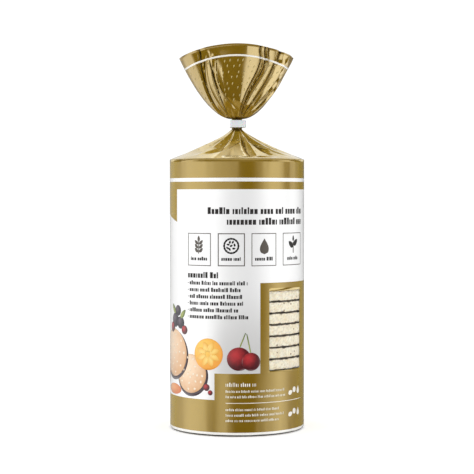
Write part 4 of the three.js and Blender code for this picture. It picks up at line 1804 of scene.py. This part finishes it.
@dataclass
class ClipBand:
    """A flat plastic strip bent round the neck, with its loose end lapped over one side."""

    width: float = 10.7
    depth: float = 9.2
    height: float = 5.0
    wall: float = 0.8
    corner: float = 1.4
    shift: float = 0.4
    lap: float = 5.2
    foot: float = 1.2  # above the foot of the neck
    steps: int = 96  # points round the band
    section_power: Span = (0.45, 0.3)  # of the superellipse, out and up

    @property
    def middle(self) -> float:
        """Height of the band's middle."""
        return FILM.neck_low + self.foot + self.height / 2.0

    def section(self, count: int) -> tuple[Array, Array]:
        """Section of the strip, out and up from -1 to 1: a superellipse of count points."""
        turn = np.linspace(0.0, 2.0 * math.pi, count, endpoint=False)
        out, up = (np.sign(wave) * np.abs(wave) ** power
                   for wave, power in zip((np.cos(turn), np.sin(turn)), self.section_power))
        return out, up

    def path(self) -> tuple[Array, Array]:
        """Outline of the band's outer side as a rounded rectangle.

        Returns:
            Points and outward normals, each of two columns.
        """
        half = np.array([self.width, self.depth]) / 2.0 - self.corner
        corners = half * [[1, -1], [1, 1], [-1, 1], [-1, -1]]
        # Even steps along the outline: straight runs and bends in turn, from the front side on.
        bend = self.corner * math.pi / 2.0
        runs = np.array([2.0 * half[0], bend, 2.0 * half[1], bend] * 2)
        ends = np.concatenate(([0.0], np.cumsum(runs)))
        length = np.linspace(0.0, ends[-1], self.steps, endpoint=False)
        leg = np.clip(np.searchsorted(ends, length, side="right") - 1, 0, len(runs) - 1)
        along = (length - ends[leg]) / runs[leg]
        side, is_bend = leg // 2, leg % 2 == 1
        angle = np.radians(90.0 * (side - 1 + np.where(is_bend, along, 0.0)))
        normal = np.stack((np.cos(angle), np.sin(angle)), axis=-1)
        share = np.where(is_bend, 1.0, along)[:, None]
        centre = corners[side - 1] + (corners[side] - corners[side - 1]) * share
        return centre + normal * self.corner, normal

    def build(self) -> bpy.types.Object:
        """The band: a rounded strip section carried round the outline, and its loose end.

        The section is a superellipse of the strip's height and wall.

        Returns:
            The piece.
        """
        outline, normal = self.path()
        out, up = self.section(28)
        rib = 1.0 + 0.03 * np.cos(np.arange(self.steps) * 2.0 * math.pi / self.steps * 24)
        middle = outline - normal * (self.wall / 2.0 + 0.06)
        ring = middle + normal * (out[:, None] * self.wall / 2.0 * rib)[..., None]
        height = np.broadcast_to((self.middle + up * self.height / 2.0)[:, None],
                                 ring.shape[:2])
        points = np.concatenate((ring, height[..., None]), axis=-1)
        points[..., 0] += self.shift
        # One more row of quads sews the section shut: the last row of points meets the first.
        quads = grid_quads(len(out) + 1, self.steps, wrap=True) % (len(out) * self.steps)
        parts = MeshParts()
        parts.add(points, quads[:, ::-1])
        self._add_loose_end(parts)
        piece = parts.build("neck_clip", ("clip_plastic",), "clip_plastic",
                            replaces=("clip_band",))
        piece.visible_glossy = False
        return piece

    def _add_loose_end(self, parts: MeshParts) -> None:
        """The strip's end on the right side: a flat tongue with round edges.

        It is the same section, carried from front to back and closed at both ends by rings
        that shrink to a pole.

        Args:
            parts: What the tongue is added to.
        """
        out, up = self.section(24)
        t = np.linspace(-1.0, 1.0, 15)
        size = np.maximum(0.02, 1.0 - np.abs(t) ** 14) ** 0.5
        x = self.shift + self.width / 2.0 + 0.12 + 0.3 * size[:, None] * out[None]
        y = np.broadcast_to((-0.3 + t * self.lap / 2.0)[:, None], x.shape)
        z = self.middle + (self.height / 2.0 - 0.15) * up[None] * size[:, None]
        points = np.stack((x, y, z), axis=-1)
        ring = np.arange(len(out))
        poles = np.array([points[0].mean(axis=0), points[-1].mean(axis=0)])
        quads = np.concatenate((
            grid_quads(len(t), len(out), wrap=True), pole_fan(ring, x.size, upward=False),
            pole_fan(ring + x.size - len(out), x.size + 1, upward=True)))
        parts.add(np.concatenate((points.reshape(-1, 3), poles)), quads)


# ---- Studio ----


@dataclass
class Studio:
    """Pale floor, soft surrounding light with broad cards, and the camera."""

    camera_at: tuple[float, float, float] = (0.0, -1.026, 0.1587)
    camera_to: tuple[float, float, float] = (0.0, 0.0, 0.130)
    lens: float = 113.92
    fill: float = 1.10
    backdrop: float = 1.08
    lamp: float = 2.2  # a small soft lamp low on the left
    lamp_towards: tuple[float, float, float] = (-0.510, -0.676, -0.532)

    # Brightness of what a mirror-like film sees round the pack, by the angle from the front.
    LEVEL_CARDS = (
        (-180, 0.35), (-150, 0.45), (-138, 0.52), (-126, 0.5), (-112, 0.75), (-100, 1.12),
        (-90, 1.3), (-66, 1.25), (-55, 1.15), (-44, 0.92), (-34, 0.74), (-24, 0.64), (-10, 0.58),
        (-2, 0.46), (5, 0.2), (12, 0.04), (24, 0.04), (34, 0.22), (44, 0.62), (56, 1.2),
        (66, 1.26), (76, 1.2), (83, 0.85), (90, 0.4), (97, 0.3), (104, 0.78), (112, 0.78),
        (124, 0.36), (135, 0.15), (150, 0.15), (180, 0.3))
    LOW_CARDS = (
        (-180, 0.02), (-160, 0.02), (-148, 0.8), (-128, 1.3), (-84, 1.4), (-77, 0.02), (8, 0.02),
        (12, 1.6), (20, 1.9), (30, 1.9), (34, 1.3), (37, 0.02), (57, 0.02), (62, 2.1), (90, 2.1),
        (96, 0.02), (114, 0.02), (118, 1.9), (148, 1.5), (155, 0.02), (180, 0.02))
    MIDDLE_CARDS = (
        (-180, 0.35), (-150, 0.45), (-126, 0.5), (-100, 1.12), (-66, 1.25), (-44, 0.92),
        (-10, 0.58), (5, 0.16), (12, 0.02), (44, 0.04), (49, 0.18), (53, 0.38), (58, 0.6),
        (64, 0.86), (70, 1.1), (78, 1.18), (88, 1.05), (96, 0.8), (104, 0.56), (111, 0.42),
        (126, 0.3), (134, 0.25), (150, 0.25), (180, 0.3))
    UNDER_CARDS = (
        (-180, 0.35), (-150, 0.45), (-130, 0.5), (-112, 0.75), (-100, 1.1), (-90, 1.3), (-66, 1.25),
        (-58, 1.1), (-50, 0.55), (-40, 0.34), (-36, 0.38), (-27, 0.84), (-17, 0.84), (-10, 0.15),
        (-4, 0.02), (22, 0.02), (30, 0.05), (36, 0.28), (41, 0.45), (52, 0.72), (59, 0.8),
        (66, 0.95), (78, 1.25), (88, 1), (95, 0.75), (100, 0.55), (106, 0.4), (114, 0.3),
        (122, 0.25), (133, 0.2), (150, 0.2), (180, 0.3))
    SHOULDER_CARDS = (
        (-180, 1), (-150, 1.05), (-140, 0.1), (-118, 0.1), (-108, 1.3), (-90, 1.2), (-60, 0.2),
        (60, 0.2), (90, 1.2), (108, 1.3), (118, 0.1), (140, 0.1), (150, 1.05), (180, 1))
    HIGH_CARDS = (
        (-180, 1), (-172, 1.3), (-150, 1.4), (-125, 0.3), (-105, 1.2), (-90, 0.6), (-80, 0.05),
        (80, 0.05), (90, 0.6), (105, 1.2), (125, 0.3), (150, 1.4), (172, 1.3), (180, 1))
    TOP_CARD = 0.6

    @staticmethod
    def _ramp(wire: Wiring, share: Socket, cards: Sequence[Span]) -> Socket:
        """Brightness by angle as a colour ramp over a full turn."""
        node = wire.node("ValToRGB", share)
        stops = node.color_ramp.elements
        for angle, _ in cards[1:-1]:
            stops.new((angle + 180.0) / 360.0)
        for stop, (_, level) in zip(stops, cards):
            stop.color = opaque((level,) * 3)
        return node.outputs["Color"]

    def build_world(self) -> None:
        """Even light for what is matt, cards for what is glossy, and a white backdrop.

        The cards are ramps over the angle round the pack, for level, two slightly falling,
        low, raised and high directions, blended by the height of the direction.
        """
        world = bpy.data.worlds.new("studio")
        wire = blank_tree(world)
        towards = wire.node("TexCoord").outputs["Generated"]
        parts = wire.node("SeparateXYZ", towards).outputs
        share = wire.maths("MULTIPLY_ADD", wire.angle(parts), 1.0 / (2.0 * math.pi), 0.5)
        rise = parts["Z"]
        glossy = self._ramp(wire, share, self.LEVEL_CARDS)
        for cards, low, high in ((self.MIDDLE_CARDS, -0.055, -0.03),
                                 (self.UNDER_CARDS, -0.125, -0.10), (self.LOW_CARDS, -0.38, -0.2)):
            glossy = wire.blend(wire.spread(rise, low, high, 1.0, 0.0), glossy,
                                self._ramp(wire, share, cards))
        near = wire.node("VectorMath", towards, self.lamp_towards, operation="DOT_PRODUCT")
        glossy = wire.blend(wire.spread(near.outputs["Value"], 0.9935, 0.998), glossy,
                            (self.lamp,) * 3)
        for cards, low, high in ((self.SHOULDER_CARDS, 0.12, 0.22), (self.HIGH_CARDS, 0.52, 0.60)):
            glossy = wire.blend(wire.spread(rise, low, high), glossy,
                                self._ramp(wire, share, cards))
        glossy = wire.blend(wire.spread(rise, 0.74, 0.84), glossy, (self.TOP_CARD,) * 3)
        left = wire.node("VectorMath", towards, (-0.25, -0.78, 0.57), operation="DOT_PRODUCT")
        even = wire.spread(left.outputs["Value"], -1.0, 1.0, self.fill * 0.82, self.fill * 1.18,
                           smoothly=False)
        beside = wire.maths("MULTIPLY", parts["X"], parts["X"])
        even = wire.maths("MULTIPLY", even, wire.maths("MULTIPLY_ADD", beside, 0.85, 0.70))
        path = wire.node("LightPath").outputs
        strength = wire.blend(path["Is Glossy Ray"], even, glossy)
        strength = wire.blend(path["Is Camera Ray"], strength, (self.backdrop,) * 3)
        background = wire.node("Background", Color=strength, Strength=1.0)
        wire.node("OutputWorld", background.outputs[0])
        world.cycles.sampling_method = "NONE"
        bpy.context.scene.world = world

    def build_floor(self) -> None:
        """A broad pale floor, flat at height 0."""
        steps = np.linspace(-4.0, 4.0, 9)
        x, y = np.meshgrid(steps, steps)
        points = np.stack((x, y, np.full_like(x, -0.0002)), axis=-1).reshape(-1, 3)
        mesh = bpy.data.meshes.new("studio_floor")
        mesh.from_pydata(points.tolist(), [], grid_quads(9, 9, wrap=False).tolist())
        floor = bpy.data.objects.new("studio_floor", mesh)
        bpy.context.scene.collection.objects.link(floor)
        material = bpy.data.materials.new("studio_floor")
        wire = blank_tree(material)
        matt = wire.node("BsdfDiffuse", Color=(0.9, 0.9, 0.9))
        camera = wire.node("LightPath").outputs["Is Camera Ray"]
        glow = wire.node("Emission", Strength=wire.maths("MULTIPLY", camera, 0.30))
        both = wire.node("AddShader", matt.outputs[0], glow.outputs[0])
        wire.node("OutputMaterial", both.outputs[0])
        mesh.materials.append(material)
        floor.visible_glossy = False

    def build_camera(self) -> None:
        """The camera, level with the upper part of the pack and looking slightly down."""
        data = bpy.data.cameras.new("studio_camera")
        data.lens = self.lens
        data.sensor_width = 36.0
        data.clip_end = 50.0
        camera = bpy.data.objects.new("studio_camera", data)
        bpy.context.scene.collection.objects.link(camera)
        camera.location = self.camera_at
        aim = Vector(self.camera_to) - Vector(self.camera_at)
        camera.rotation_euler = aim.to_track_quat("-Z", "Y").to_euler()
        bpy.context.scene.camera = camera

    def build(self) -> None:
        """Builds the camera, the world and the floor."""
        self.build_camera()
        self.build_world()
        self.build_floor()
        bpy.context.scene.view_settings.view_transform = "Standard"


def main() -> None:
    """Builds the studio and then the pack, sub-assembly by sub-assembly."""
    logging.basicConfig(level=logging.INFO, format="%(name)s: %(message)s")
    Studio().build()
    make_materials()
    PrintedFilm().build()
    PrintedMarks().build()
    RiceCakes().build()
    ClipBand().build()


if __name__ == "__main__":
    main()
